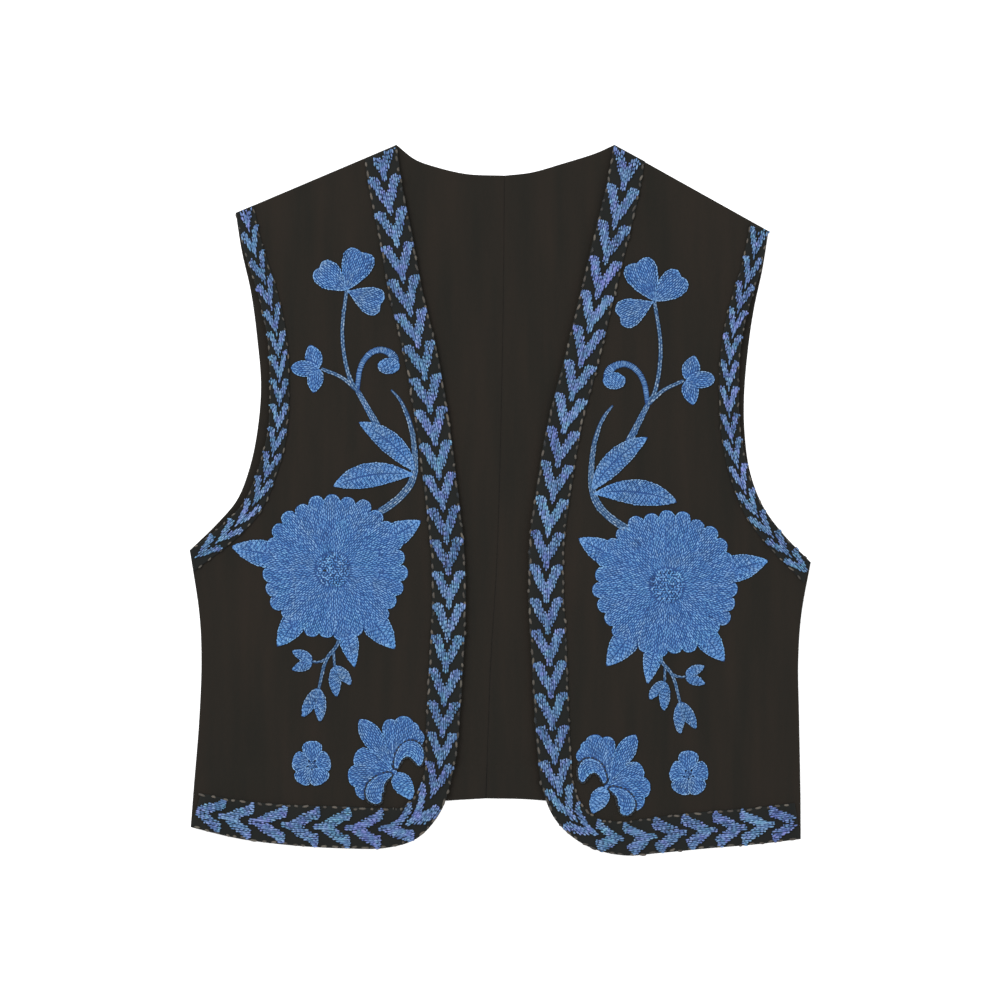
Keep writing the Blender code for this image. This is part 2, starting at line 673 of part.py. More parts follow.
def motif_outlines(motif):
    """All outlines of one motif, in its own frame."""
    if motif == "flower":
        sepals = [radial(row, SEPAL_ROOT, SEPAL_POWERS) for row in rows(SEPAL_COLUMNS, SEPALS)]
        rings = [scalloped(**row) + row["radius"] * RING_LEAN for row in rows(RING_COLUMNS, FLOWER_RINGS)]
        return [*sepals, *rings, disc(FLOWER_CENTRE)]
    if motif == "rosette":
        petals = [radial(row, ROSETTE_ROOT, ROSETTE_POWERS) for row in rows(SEPAL_COLUMNS, ROSETTE)]
        return [*petals, disc(ROSETTE_CENTRE)]
    shapes = [blade(row) for row in rows(BLADE_COLUMNS, BLADES[motif])]
    return shapes + [stem(points) for points in STEMS.get(motif, ())]


def placed(outline, place, side):
    """A motif's outline, moved to its place on one front. The left front is the mirror image."""
    outline = outline * np.array([side.mirror, 1.0])
    if side.name == "left":
        turn = -math.radians(place["left_turn"])
        cos, sin = math.cos(turn), math.sin(turn)
        outline = place["left_size"] * outline @ np.array([[cos, sin], [-sin, cos]])
    return outline + np.array([place[side.name + "_x"], place[side.name + "_y"]])


def make_back(side, cloth):
    """Half of the back, flat on its under face."""
    lines = [side.hem_turn_line(HEM_TURN_DEPTH), side.hem_turn_line(HEM_TURN_DEPTH + 1.0)]
    flat, triangles, _ = triangulate([side.back_outline()], lines, BACK_SPACING, BACK_SPACING / 3)
    top = side.back_top(flat)
    return cloth_solid("back_" + side.name, flat, triangles, np.zeros(len(flat)), top, [cloth])


def make_front(side, cloth):
    """One front panel, on the back."""
    flat, triangles, _ = triangulate([side.front_outline()], [], FRONT_SPACING, FRONT_SPACING / 2)
    bottom = side.front_bottom(flat)
    return cloth_solid("front_" + side.name, flat, triangles, bottom, bottom + FRONT_WALL, [cloth])


def make_braids(side, cloth, thread):
    """The wide braid of the front edge and hem, and the narrow one of the armhole."""
    edge = side.front_edge
    wide = Braid(
        edge, edge[:, 2], BRAID_SLANTS["front"], FRONT_CHEVRON_PITCH, FRONT_CHEVRON_DEPTH, side.mirror
    )
    wide.solid("front_braid_" + side.name, side.front_top, [cloth, thread])
    narrow = Braid(
        side.armhole,
        np.full(len(side.armhole), ARMHOLE_BRAID_WIDTH),
        BRAID_SLANTS["armhole"],
        ARMHOLE_CHEVRON_PITCH,
        ARMHOLE_CHEVRON_DEPTH,
        -side.mirror,
    )
    narrow.solid("armhole_braid_" + side.name, side.front_top, [cloth, thread])


def make_embroidery(side, thread):
    """Each motif: thick stitching with a rim, crowned leaves and petals, and grooves between."""
    for place in rows(PLACE_COLUMNS, PLACES):
        outlines = [placed(outline, place, side) for outline in motif_outlines(place["motif"])]
        flat, triangles, free = triangulate(outlines, [], STITCH_SPACING, STITCH_MARGIN)
        bottom = side.front_top(flat) + LAYER_GAP
        top = bottom + np.where(free, STITCH_CROWN, STITCH_RIM)
        cloth_solid(place["motif"] + "_" + side.name, flat, triangles, bottom, top, [thread])


def main():
    for obj in list(bpy.data.objects):
        bpy.data.objects.remove(obj, do_unlink=True)
    cloth = material("vest cloth", CLOTH_BLACK, 0.9)
    braid_ground = material("braid ground", CLOTH_BLACK, 0.8)
    thread = material("embroidery thread", THREAD_BLUE, 0.55)
    for name in ("right", "left"):
        side = Side(name)
        make_back(side, cloth)
        make_front(side, cloth)
        make_braids(side, braid_ground, thread)
        make_embroidery(side, thread)


main()
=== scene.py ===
"""The looks of an embroidered sleeveless vest, laid flat with its fronts on its back.

The solids of the vest are loaded as a fixed frame, and each is replaced by a finer piece that lies
in the same place: cloth shells with soft creases, braid, and embroidery made stitch by stitch.

Lengths are in millimetres up to the point where a mesh is made, and materials are in metres. +X
runs to the wearer's left, +Y to the neck and +Z up out of the cloth.
"""

from __future__ import annotations

import json
import logging
import math
import sys
from collections.abc import Callable, Iterable, Sequence
from dataclasses import dataclass, field
from enum import Enum

import bpy
import numpy as np
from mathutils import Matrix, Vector
from mathutils.geometry import delaunay_2d_cdt

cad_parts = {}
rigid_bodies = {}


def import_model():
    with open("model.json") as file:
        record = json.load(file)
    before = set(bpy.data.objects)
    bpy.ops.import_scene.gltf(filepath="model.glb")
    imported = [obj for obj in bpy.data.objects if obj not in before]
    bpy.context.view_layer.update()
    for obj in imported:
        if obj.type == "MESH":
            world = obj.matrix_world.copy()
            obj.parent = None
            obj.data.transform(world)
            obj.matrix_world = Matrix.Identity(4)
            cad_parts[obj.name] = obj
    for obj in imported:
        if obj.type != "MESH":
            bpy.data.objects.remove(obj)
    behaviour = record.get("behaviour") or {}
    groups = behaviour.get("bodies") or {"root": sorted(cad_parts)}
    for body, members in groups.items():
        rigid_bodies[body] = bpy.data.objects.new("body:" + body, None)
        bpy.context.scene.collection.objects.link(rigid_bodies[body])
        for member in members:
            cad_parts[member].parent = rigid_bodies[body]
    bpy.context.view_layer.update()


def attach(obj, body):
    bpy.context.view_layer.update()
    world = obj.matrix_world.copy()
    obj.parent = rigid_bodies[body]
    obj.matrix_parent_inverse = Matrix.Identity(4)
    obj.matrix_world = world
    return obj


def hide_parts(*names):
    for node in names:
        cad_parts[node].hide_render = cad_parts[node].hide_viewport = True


LOG = logging.getLogger("vest")

Colour = tuple[float, float, float]
Table = Sequence[Sequence[object]]
Ground = Callable[[np.ndarray], np.ndarray]

MM = 0.001

# The layers of cloth. The last five say how the front droops past the back's hem, and where it
# rises on to the turned-up hem before that.
BACK_WALL = 1.5
FRONT_WALL = 1.5
HEM_TURN_DEPTH = 26.0
HEM_TURN_WALL = 1.0
LAYER_GAP = 0.4
FRONT_LOFT = 0.9
SEAM_EASE = 18.0
HEM_DROOP = 1.9
DROOP_START = 3.0
DROOP_RUN = 34.0
TURN_RISE_START = -45.0
TURN_RISE_RUN = 16.0

# The front edge of each front, from the neck down, round the corner and along the hem to the side
# seam, with the braid's width there.
FRONT_EDGE_COLUMNS = ("station", "right_x", "right_y", "right_braid", "left_x", "left_y", "left_braid")
FRONT_EDGE = (
    ("neck", -79.8, 273.8, 25.5, 87.7, 273.8, 25.5),
    ("collar bone", -75.7, 243.4, 25.6, 81.8, 242.6, 26.0),
    ("upper chest", -68.4, 208.0, 25.8, 73.3, 208.0, 26.5),
    ("chest", -59.9, 161.8, 26.0, 62.1, 161.8, 26.5),
    ("bust", -48.7, 115.6, 26.0, 51.0, 115.6, 26.5),
    ("below bust", -39.5, 62.4, 26.0, 37.1, 62.4, 26.5),
    ("rib", -33.3, 13.2, 26.0, 28.3, 13.2, 27.0),
    ("waist", -28.2, -31.5, 26.0, 22.5, -31.5, 27.0),
    ("under waist", -26.4, -76.9, 26.2, 21.8, -76.9, 27.5),
    ("hip", -28.1, -119.4, 26.5, 24.0, -119.4, 27.5),
    ("low hip", -30.6, -159.0, 26.0, 26.0, -159.0, 26.8),
    ("corner top", -33.4, -194.0, 24.4, 28.4, -192.5, 26.0),
    ("corner bend", -38.2, -217.0, 21.5, 32.4, -222.0, 24.6),
    ("corner side", -46.5, -241.0, 23.5, 42.4, -246.0, 23.8),
    ("corner foot", -64.2, -260.5, 27.5, 64.5, -265.2, 23.0),
    ("hem start", -87.5, -267.8, 31.0, 93.7, -273.5, 26.5),
    ("hem middle", -120.0, -268.2, 32.5, 125.0, -271.5, 28.0),
    ("hem outer", -160.5, -265.8, 31.3, 159.0, -268.2, 28.5),
    ("hem side", -201.0, -260.6, 29.5, 196.0, -265.0, 28.2),
    ("side corner", -238.4, -251.7, 27.0, 231.4, -260.9, 28.2),
)

# The side seam, from the hem up to the armhole.
SIDE_COLUMNS = ("station", "right_x", "right_y", "left_x", "left_y")
SIDE = (
    ("side corner", -238.4, -251.7, 231.4, -260.9),
    ("above hem", -235.5, -214.0, 231.2, -222.0),
    ("hip", -232.0, -170.0, 230.3, -170.0),
    ("waist", -230.2, -123.0, 229.6, -123.0),
    ("rib", -231.8, -88.0, 232.0, -88.0),
    ("underarm", -239.2, -38.5, 239.2, -48.0),
)

# The front armhole, from the shoulder down to the side seam, and how far the back's own armhole
# stands out past it.
ARMHOLE_COLUMNS = ("station", "right_x", "right_y", "right_back", "left_x", "left_y", "left_back")
ARMHOLE = (
    ("shoulder", -203.9, 221.2, 0.0, 206.8, 207.3, 0.0),
    ("cap", -197.4, 192.6, 2.0, 200.3, 177.0, 1.6),
    ("upper", -187.4, 161.8, 5.0, 192.0, 150.2, 4.0),
    ("chest", -179.6, 127.1, 8.0, 185.3, 119.4, 6.0),
    ("narrowest", -177.3, 88.6, 7.2, 183.4, 80.9, 4.6),
    ("bust", -178.9, 54.0, 8.2, 185.3, 50.1, 3.2),
    ("low", -186.6, 23.2, 6.8, 191.5, 20.9, 1.2),
    ("scoop", -198.1, -2.3, 5.4, 201.9, -4.9, 0.6),
    ("under", -215.1, -20.0, 3.6, 217.7, -26.1, 0.3),
    ("underarm", -239.2, -38.5, 0.0, 239.2, -48.0, 0.0),
)

# How far the inner side of each braid runs past its outer side, at its two ends.
BRAID_SLANTS = {
    "front": {"start": 8.5, "end": -1.5},
    "armhole": {"start": -2.7, "end": 7.5},
}

# The back neck, from the centre seam out to the shoulder.
BACK_NECK_COLUMNS = ("station", "right_x", "right_y", "left_x", "left_y")
BACK_NECK = (
    ("centre", 3.4, 250.2, 3.4, 250.2),
    ("low", -25.6, 251.4, 24.0, 252.6),
    ("side", -49.1, 256.7, 48.0, 259.4),
    ("rise", -65.7, 262.7, 74.0, 267.6),
    ("neck", -79.8, 273.8, 87.7, 273.8),
)

# The centre back seam, from the neck down to the hem.
BACK_SEAM = ((3.4, 250.2), (2.1, 131.0), (-2.5, -46.0), (-7.2, -123.0), (-11.0, -229.9))

# The back's hem, from the centre seam out to the side seam.
BACK_HEM_COLUMNS = ("station", "right_x", "right_y", "left_x", "left_y")
BACK_HEM = (
    ("centre", -11.0, -229.9, -11.0, -229.9),
    ("inner", -41.0, -231.7, 25.2, -230.9),
    ("middle", -140.0, -239.0, 130.0, -242.0),
    ("side corner", -238.4, -251.7, 231.4, -260.9),
)

# Soft folds of the fronts: a ridge from one end to the other, with its half width and height.
FOLD_COLUMNS = ("side", "from_x", "from_y", "to_x", "to_y", "spread", "height")
FOLDS = (
    ("right", -206.0, -96.0, -212.0, -214.0, 13.0, 1.3),
    ("right", -172.0, -118.0, -166.0, -222.0, 15.0, 1.1),
    ("right", -146.0, 232.0, -152.0, 158.0, 14.0, 1.0),
    ("right", -92.0, 60.0, -70.0, -30.0, 17.0, 1.0),
    ("left", 203.0, -92.0, 197.0, -208.0, 15.0, 1.2),
    ("left", 150.0, 214.0, 146.0, 150.0, 15.0, 1.0),
    ("left", 158.0, 66.0, 172.0, -8.0, 16.0, 1.1),
)

# Finer creases of the fronts, in the same columns. A height below nought is a trough.
CREASES = (
    ("right", -222.0, -70.0, -224.0, -196.0, 4.0, -0.35),
    ("right", -192.0, -104.0, -190.0, -200.0, 5.0, -0.45),
    ("right", -214.0, -60.0, -184.0, -86.0, 6.0, 0.40),
    ("right", -168.0, 214.0, -176.0, 150.0, 5.0, -0.40),
    ("right", -128.0, 240.0, -118.0, 176.0, 6.0, -0.35),
    ("right", -160.0, 60.0, -150.0, 22.0, 7.0, 0.45),
    ("right", -58.0, -110.0, -60.0, -176.0, 6.0, 0.35),
    ("right", -120.0, 210.0, -96.0, 150.0, 7.0, 0.40),
    ("left", 220.0, -84.0, 219.0, -206.0, 4.5, -0.40),
    ("left", 184.0, -118.0, 178.0, -190.0, 5.0, -0.45),
    ("left", 210.0, -62.0, 186.0, -96.0, 6.0, 0.40),
    ("left", 172.0, 196.0, 180.0, 130.0, 5.0, -0.40),
    ("left", 120.0, 226.0, 112.0, 160.0, 6.0, -0.35),
    ("left", 148.0, 40.0, 156.0, 6.0, 6.0, -0.35),
    ("left", 52.0, -118.0, 54.0, -170.0, 6.0, 0.35),
    ("left", 128.0, 190.0, 104.0, 130.0, 7.0, 0.35),
)

# Creases of the back, seen inside the vest between the fronts.
BACK_CREASES = (
    ("right", -12.0, 236.0, -30.0, 120.0, 7.0, 0.35),
    ("right", -8.0, -80.0, -9.5, -132.0, 1.6, -0.70),
    ("right", -22.0, 90.0, -18.0, -20.0, 8.0, 0.30),
    ("left", 26.0, 230.0, 44.0, 130.0, 8.0, 0.35),
    ("left", 12.0, 60.0, 8.0, -60.0, 9.0, 0.30),
    ("left", 6.0, -120.0, 4.0, -190.0, 6.0, 0.25),
)

# Leaves and petals, in a motif's own frame, drawn for the wearer's right front. A blade grows from
# its root along its direction. The root and tip powers say how slim or round its ends are, bend
# turns its spine from root to tip, and notch pulls in the middle of its tip. They are listed from
# the uppermost down, with how their stitches run, how far their root is lifted and their shade.
BLADE_COLUMNS = (
    "x", "y", "direction", "length", "width", "root", "tip", "bend", "notch", "fill", "lift", "shade",
)
BLADES = {
    "spray": (
        (-7.3, 75.0, 68.0, 33.5, 25.5, 0.9, 0.30, 0.0, 0.06, "along", 0.3, 0.0),
        (-7.3, 75.0, 140.0, 29.5, 22.0, 0.9, 0.40, 0.0, 0.08, "along", 0.1, 0.05),
        (-7.3, 75.0, -22.0, 30.5, 22.5, 1.2, 0.42, 0.0, 0.08, "along", 0.1, 0.05),
        (-28.0, 14.5, 178.0, 22.0, 13.0, 0.6, 0.50, 0.0, 0.0, "along", 0.2, 0.0),
        (-30.0, 14.5, 106.0, 19.5, 14.0, 0.6, 0.75, 0.0, 0.0, "along", 0.1, 0.0),
        (-30.0, 16.0, -98.0, 20.0, 13.0, 0.6, 0.80, 0.0, 0.0, "along", 0.1, 0.0),
        (33.9, 17.5, 184.0, 17.3, 13.0, 0.5, 0.5, 0.0, 0.0, "slanted", 0.3, 0.0),
        (45.0, -63.6, 123.0, 57.5, 17.0, 0.8, 0.85, 32.0, 0.0, "herringbone", 0.2, 0.0),
        (45.0, -67.0, 171.0, 64.0, 19.5, 1.1, 0.9, 34.0, 0.0, "herringbone", 0.1, 0.0),
    ),
    "bud_sprig": (
        (-20.2, -15.8, 138.0, 17.0, 9.0, 0.5, 0.7, 30.0, 0.0, "slanted", 0.2, 0.05),
        (-20.2, -15.8, 208.0, 16.5, 9.0, 0.5, 0.8, -10.0, 0.0, "slanted", 0.1, 0.0),
        (-2.5, -19.5, -92.0, 23.5, 9.5, 0.6, 0.7, 12.0, 0.0, "slanted", 0.2, 0.0),
        (-2.5, -19.5, -38.0, 19.0, 9.0, 0.6, 0.7, -22.0, 0.0, "slanted", 0.1, 0.05),
        (-15.0, -36.5, 238.0, 25.0, 10.0, 0.6, 0.7, 8.0, 0.0, "slanted", 0.2, 0.0),
        (-15.0, -36.5, -82.0, 25.5, 10.0, 0.6, 0.7, -10.0, 0.0, "slanted", 0.1, 0.05),
    ),
    "hem_flower": (
        (-1.5, 1.5, -40.0, 5.0, 4.5, 0.5, 0.5, 0.0, 0.0, "along", 0.5, 0.0),
        (0.5, -1.5, -48.0, 23.5, 15.5, 0.5, 0.75, -14.0, 0.0, "slanted", 0.1, 0.03),
        (0.0, 0.0, 119.0, 48.5, 16.5, 1.5, 0.75, 8.0, 0.0, "along", 0.4, 0.0),
        (0.0, 0.0, 78.0, 44.0, 17.0, 1.2, 0.4, 0.0, 0.0, "along", 0.3, -0.03),
        (0.0, 0.0, 186.0, 35.5, 19.5, 1.0, 0.4, 0.0, 0.0, "along", 0.3, -0.03),
        (0.0, 0.0, 94.0, 41.0, 14.0, 1.3, 0.4, 0.0, 0.0, "along", 0.1, 0.0),
        (0.0, 0.0, 67.0, 41.5, 13.0, 1.3, 0.4, 0.0, 0.0, "along", 0.2, 0.0),
        (0.0, 0.0, 70.0, 38.5, 15.0, 1.9, 0.4, -28.0, 0.0, "along", 0.1, 0.0),
        (0.0, 0.0, 156.0, 33.0, 18.0, 1.1, 0.4, 0.0, 0.0, "along", 0.1, 0.0),
        (0.0, 0.0, 211.0, 33.5, 16.0, 1.1, 0.4, 0.0, 0.0, "along", 0.0, 0.0),
    ),
}

# How far out from a blade's spine the notch in its tip runs, as a share of its width.
NOTCH_SPREAD = 0.3

# Curled petals that lie over the blades, as points with a width, and a dark parting of painted shade round
# them.
CURLS = {
    "hem_flower": (
        (
            (1.6, 2.5, 3.0), (3.4, 10.5, 5.5), (8.5, 17.0, 10.0), (14.6, 17.8, 13.2), (18.7, 12.0, 9.6),
            (20.2, 4.8, 2.8),
        ),
        (
            (-1.2, -1.4, 2.6), (-6.5, -3.6, 5.5), (-11.8, -8.0, 10.5), (-14.6, -14.0, 14.5),
            (-14.0, -19.0, 13.0), (-9.5, -22.6, 5.0),
        ),
    ),
}
CURL_PARTING = 1.5

# Stems, in the same frames: how their stitches run, how much warmer their thread is, and points with
# a width.
STEMS = {
    "spray": (
        ("along", 0.95, ((-7.3, 75.5, 2.8), (-10.5, 39.3, 3.0), (-4.6, 7.0, 3.4), (1.0, -2.0, 3.8))),
        ("along", 0.95, ((-27.0, 15.0, 2.8), (-10.8, 8.1, 3.0), (1.0, -2.0, 3.4))),
        ("across", 0.2, (
            (1.0, -2.0, 3.6), (1.7, 5.5, 3.9), (2.7, 13.2, 4.0), (6.0, 21.2, 4.2), (11.8, 27.3, 4.6),
            (17.8, 29.4, 4.9), (23.6, 28.3, 5.4), (28.2, 25.2, 6.6), (30.0, 20.4, 6.8),
            (29.6, 16.5, 7.0),
        )),
        ("along", 0.5, ((0.5, -1.0, 4.0), (6.5, -11.5, 4.6), (17.5, -31.0, 6.0))),
        ("along", 0.9, (
            (27.0, -1.3, 1.6), (34.2, -9.5, 2.4), (41.3, -26.0, 3.5), (44.7, -43.7, 4.2),
            (45.4, -61.4, 5.2), (42.4, -73.2, 5.8), (34.2, -83.8, 5.8), (24.5, -91.5, 6.0),
            (17.0, -96.0, 6.0),
        )),
    ),
    "bud_sprig": (
        ("along", 0.8, ((1.2, 2.0, 3.0), (-1.2, -4.2, 3.0), (-8.6, -13.6, 3.0), (-15.0, -38.0, 2.4))),
        ("along", 0.8, ((-8.6, -13.4, 2.4), (-15.0, -16.4, 1.8), (-21.0, -15.6, 1.8))),
        ("along", 0.8, ((-3.4, -7.0, 2.4), (-2.4, -21.0, 2.0))),
    ),
}

# The big flower: pointed sepals under rings of petals round a knotted centre.
SEPAL_COLUMNS = ("direction", "reach", "width")
SEPALS = (
    (167.0, 80.0, 21.0),
    (29.0, 77.5, 20.0),
    (-52.0, 77.5, 21.0),
    (-77.5, 77.0, 15.5),
    (-126.0, 73.0, 19.0),
)
SEPAL_ROOT = 34.0
SEPAL_POWERS = (0.7, 0.9)

# The flower's rings of petals from the uppermost down. The last number is how much paler the rim
# of each petal is. The rings reach further out in the direction of the lean.
RING_COLUMNS = ("root", "reach", "petals", "width", "turn", "lift", "rim")
RINGS = ((6.0, 36.0, 13, 14.5, 8.0, 0.25, None), (7.0, 56.0, 27, 15.5, 4.0, 0.1, 0.14))
RING_LEAN = np.array([0.018, 0.037])
RING_POWERS = (0.85, 0.36)

# The rosette's petals, in the sepals' columns.
ROSETTE = (
    (90.0, 18.5, 16.0), (165.0, 15.5, 16.0), (235.0, 17.0, 15.0), (300.0, 16.5, 16.5),
    (15.0, 14.5, 17.0),
)
ROSETTE_ROOT = 2.5
ROSETTE_POWERS = (0.7, 0.4)

# Where each motif sits on each front, how the left one is turned and sized beside the right, and
# how much lighter and warmer its thread is.
PLACE_COLUMNS = (
    "motif", "right_x", "right_y", "left_x", "left_y", "left_turn", "left_size", "shade", "tint",
)
PLACES = (
    ("spray", -111.1, 86.3, 114.5, 75.5, -2.5, 1.03, -0.04, 0.2),
    ("flower", -128.8, -53.6, 128.6, -65.9, -1.0, 1.0, 0.0, 0.0),
    ("bud_sprig", -125.0, -108.5, 123.6, -121.2, -1.5, 0.95, -0.10, 0.4),
    ("rosette", -144.8, -203.8, 144.8, -211.2, 0.0, 1.0, 0.0, 0.15),
    ("hem_flower", -81.9, -209.4, 82.3, -220.5, -4.0, 0.94, -0.03, 0.0),
)

# Half of a chevron, drawn for this pitch and width of braid: how far out from the braid's middle,
# and where its back and its front edge lie along the braid from the place where the arms meet.
CHEVRON_PITCH = 25.5
CHEVRON_BRAID = 26.0
CHEVRON_HALF = (
    (0.0, -8.4, 9.2),
    (1.4, -10.4, 8.2),
    (2.3, -12.4, 2.8),
    (3.6, -15.4, 0.4),
    (4.7, -20.0, -1.2),
    (6.5, -21.2, -4.2),
    (8.0, -21.3, -8.0),
    (9.5, -21.3, -12.3),
    (11.4, -21.0, -15.8),
    (13.0, -20.0, -17.5),
)

# Where the arms of each chevron meet, as lengths along the front braid's outer side.
FRONT_PLACES = {
    "right": (
        18.3, 43.9, 70.0, 97.0, 122.7, 148.5, 174.5, 200.4, 226.2, 252.1, 277.0, 302.5, 327.6, 353.5,
        378.9, 404.2, 430.0, 454.4, 478.8, 504.2, 539.0, 568.0, 597.0, 621.5, 647.0, 673.2, 698.5,
        721.8, 744.8,
    ),
    "left": (
        24.2, 53.5, 81.9, 109.6, 136.7, 164.0, 190.9, 217.8, 244.7, 271.6, 298.6, 325.4, 351.7, 377.0,
        401.5, 426.4, 451.2, 477.6, 504.7, 532.6, 558.4, 581.8, 608.5, 633.0, 656.2, 679.4, 701.6,
        725.0, 747.0,
    ),
}

# Chevrons that aren't straight, by their place: their pitch, and how far their outer and inner arms
# are drawn forward, as a share of the way out.
FRONT_LEANS = {
    "right": {
        504.2: (25.5, 0.0, 0.0),
        539.0: (33.0, 0.75, -1.0),
        568.0: (30.0, 0.5, -1.5),
        597.0: (26.0, 0.1, -0.4),
    },
    "left": {
        532.6: (29.0, -0.4, -0.3),
        558.4: (26.0, 0.0, -1.0),
        581.8: (25.0, 0.85, -0.25),
        608.5: (25.5, 0.85, 0.0),
        633.0: (24.0, 0.4, 0.25),
        656.2: (23.2, 0.4, 0.1),
        679.4: (22.7, 0.3, 0.1),
    },
}

# The same two for the armhole braid.
ARMHOLE_PLACES = {
    "right": (
        9.7, 31.0, 53.0, 72.6, 92.5, 109.8, 127.6, 146.5, 164.9, 183.0, 202.6, 222.0, 241.2, 260.4,
        279.4,
    ),
    "left": (
        -2.0, 16.7, 40.3, 60.5, 80.1, 99.6, 119.4, 139.2, 159.0, 177.7, 197.6, 217.0, 235.5, 255.1,
        274.5,
    ),
}
ARMHOLE_LEANS = {
    "right": {
        31.0: (20.5, 0.5, -0.3),
        53.0: (20.5, 0.5, -0.5),
        72.6: (20.0, 0.5, -0.4),
        92.5: (19.0, 0.4, -0.3),
        127.6: (18.5, 0.1, -0.5),
    },
    "left": {},
}

# The stations across a strip of braid, closer together at its edges, and those along it: a few at
# each end and an even run between.
BRAID_COLUMNS = (0.0, 0.015, 0.05, 0.14, 0.26, 0.38, 0.5, 0.62, 0.74, 0.86, 0.95, 0.985, 1.0)
BRAID_START = (0.0, 0.0015, 0.004)
BRAID_RUN = (0.008, 0.992)
BRAID_END = (0.996, 0.9985, 1.0)

# The tone of the padding, which shows as the shade between the stitches.
PAD_TONE = 0.14

# The tone of the dark line of painted shade round a lifted form.
PARTING_TONE = -0.4

# Where the random draws of each side's pieces start.
FIRST_SEEDS = {"right": 100, "left": 200}

# One stitch in shares of its length, width and height: each station's place, half width and height.
STRAND = ((0.0, 0.14, 0.0), (0.18, 0.42, 0.75), (0.5, 0.5, 1.0), (0.82, 0.42, 0.75), (1.0, 0.14, 0.0))

# The corners of its section, in shares of the half width and the height there.
SECTION = ((-1.0, 0.0), (-0.62, 1.0), (0.62, 1.0), (1.0, 0.0))

# Where its foot lies, in shares of its height, and the painted shade and highlight in its tone: how much
# lighter it is at its foot, low on its side, and for each share of its height.
STRAND_FOOT = -0.3
FOOT_PAINTED_SHADE = -0.36
LOW_PAINTED_SHADE = -0.22
PAINTED_HIGHLIGHT_RISE = 0.42


class Hand(Enum):
    """The wearer's side that a half of the vest belongs to."""

    RIGHT = "right"
    LEFT = "left"

    @property
    def mirror(self) -> float:
        """1 on the right, which the tables are drawn for, and -1 on the left."""
        return 1.0 if self is Hand.RIGHT else -1.0


class Fill(Enum):
    """How the rows of stitches run in a form."""

    ALONG = "along"
    HERRINGBONE = "herringbone"
    SLANTED = "slanted"
    ACROSS = "across"


def rows(columns: Sequence[str], table: Table) -> list[dict]:
    """The table's rows as dictionaries, by column name."""
    return [dict(zip(columns, row, strict=True)) for row in table]


def points_of(columns: Sequence[str], table: Table, hand: Hand) -> np.ndarray:
    """The (x, y) points of one side's columns."""
    return np.array([(row[hand.value + "_x"], row[hand.value + "_y"]) for row in rows(columns, table)])


def smooth_curve(points: Iterable, pieces: int = 8) -> np.ndarray:
    """Points on a centripetal curve through the given points.

    Args:
        points: The points, whose first two numbers are x and y.
        pieces: How many pieces each stretch is split into.

    Returns:
        The curve's points, with as many columns as those given.
    """
    points = np.asarray(points, float)
    padded = np.vstack([2 * points[0] - points[1], points, 2 * points[-1] - points[-2]])
    curve = []
    for a, b, c, d in zip(padded, padded[1:], padded[2:], padded[3:], strict=False):
        t1 = math.sqrt(math.dist(a[:2], b[:2]))
        t2 = t1 + math.sqrt(math.dist(b[:2], c[:2]))
        t3 = t2 + math.sqrt(math.dist(c[:2], d[:2]))
        for t in t1 + (t2 - t1) * np.arange(pieces) / pieces:
            ab = a + (b - a) * t / t1
            bc = b + (c - b) * (t - t1) / (t2 - t1)
            cd = c + (d - c) * (t - t2) / (t3 - t2)
            abc = ab + (bc - ab) * t / t2
            bcd = bc + (cd - bc) * (t - t1) / (t3 - t1)
            curve.append(abc + (bcd - abc) * (t - t1) / (t2 - t1))
    return np.array([*curve, points[-1]])


def lengths_along(curve: np.ndarray) -> np.ndarray:
    """The length along a curve at each of its points."""
    steps = np.hypot(*np.diff(curve[:, :2], axis=0).T)
    return np.concatenate([[0.0], np.cumsum(steps)])


def resample(curve: np.ndarray, spacing: float) -> np.ndarray:
    """The curve at even steps of about this length, with both ends kept.

    Args:
        curve: The curve's points.
        spacing: About how far apart the new points are.

    Returns:
        The new points, with as many columns.
    """
    along = lengths_along(curve)
    count = max(2, round(along[-1] / spacing) + 1)
    wanted = np.linspace(0, along[-1], count)
    return np.column_stack([np.interp(wanted, along, column) for column in curve.T])


def normals_of(curve: np.ndarray) -> np.ndarray:
    """Unit normals, to the right of the way that the curve runs.

    Args:
        curve: The curve's points.

    Returns:
        A normal for each point.
    """
    along = np.gradient(curve[:, :2], axis=0)
    along /= np.linalg.norm(along, axis=1)[:, None]
    return np.column_stack([along[:, 1], -along[:, 0]])


def distance_to(points: np.ndarray, curve: np.ndarray) -> np.ndarray:
    """Each point's distance to the nearest stretch of the curve.

    Args:
        points: The points, as (n, 2).
        curve: The points of an open curve.

    Returns:
        A distance for each point.
    """
    nearest = np.full(len(points), np.inf)
    for start, end in zip(curve, curve[1:], strict=False):
        run = end - start
        share = np.clip((points - start) @ run / max(run @ run, 1e-9), 0, 1)
        away = points - start - share[:, None] * run
        nearest = np.minimum(nearest, np.hypot(away[:, 0], away[:, 1]))
    return nearest


def inside(points: np.ndarray, outline: np.ndarray) -> np.ndarray:
    """Which points lie inside a closed outline.

    Args:
        points: The points, as (n, 2).
        outline: The outline's points.

    Returns:
        True for each point that lies inside.
    """
    x, y = points[:, :1], points[:, 1:]
    x0, y0 = outline.T
    x1, y1 = np.roll(outline, -1, axis=0).T
    climb = np.where(y1 == y0, 1.0, y1 - y0)
    crossed = ((y0 > y) != (y1 > y)) & (x < x0 + (y - y0) * (x1 - x0) / climb)
    return crossed.sum(1) % 2 == 1


def inset(outline: np.ndarray, depth: float) -> np.ndarray:
    """A closed outline moved in by a small depth, whichever way round it runs.

    Args:
        outline: The outline's points.
        depth: How far in it moves, or out if below nought.

    Returns:
        The moved outline.
    """
    ring = np.vstack([outline[-1:], outline, outline[:1]])
    out = normals_of(ring)[1:-1]
    x, y = outline.T
    turns_left = (x * np.roll(y, -1) - y * np.roll(x, -1)).sum() > 0
    return outline - out * depth * (1 if turns_left else -1)


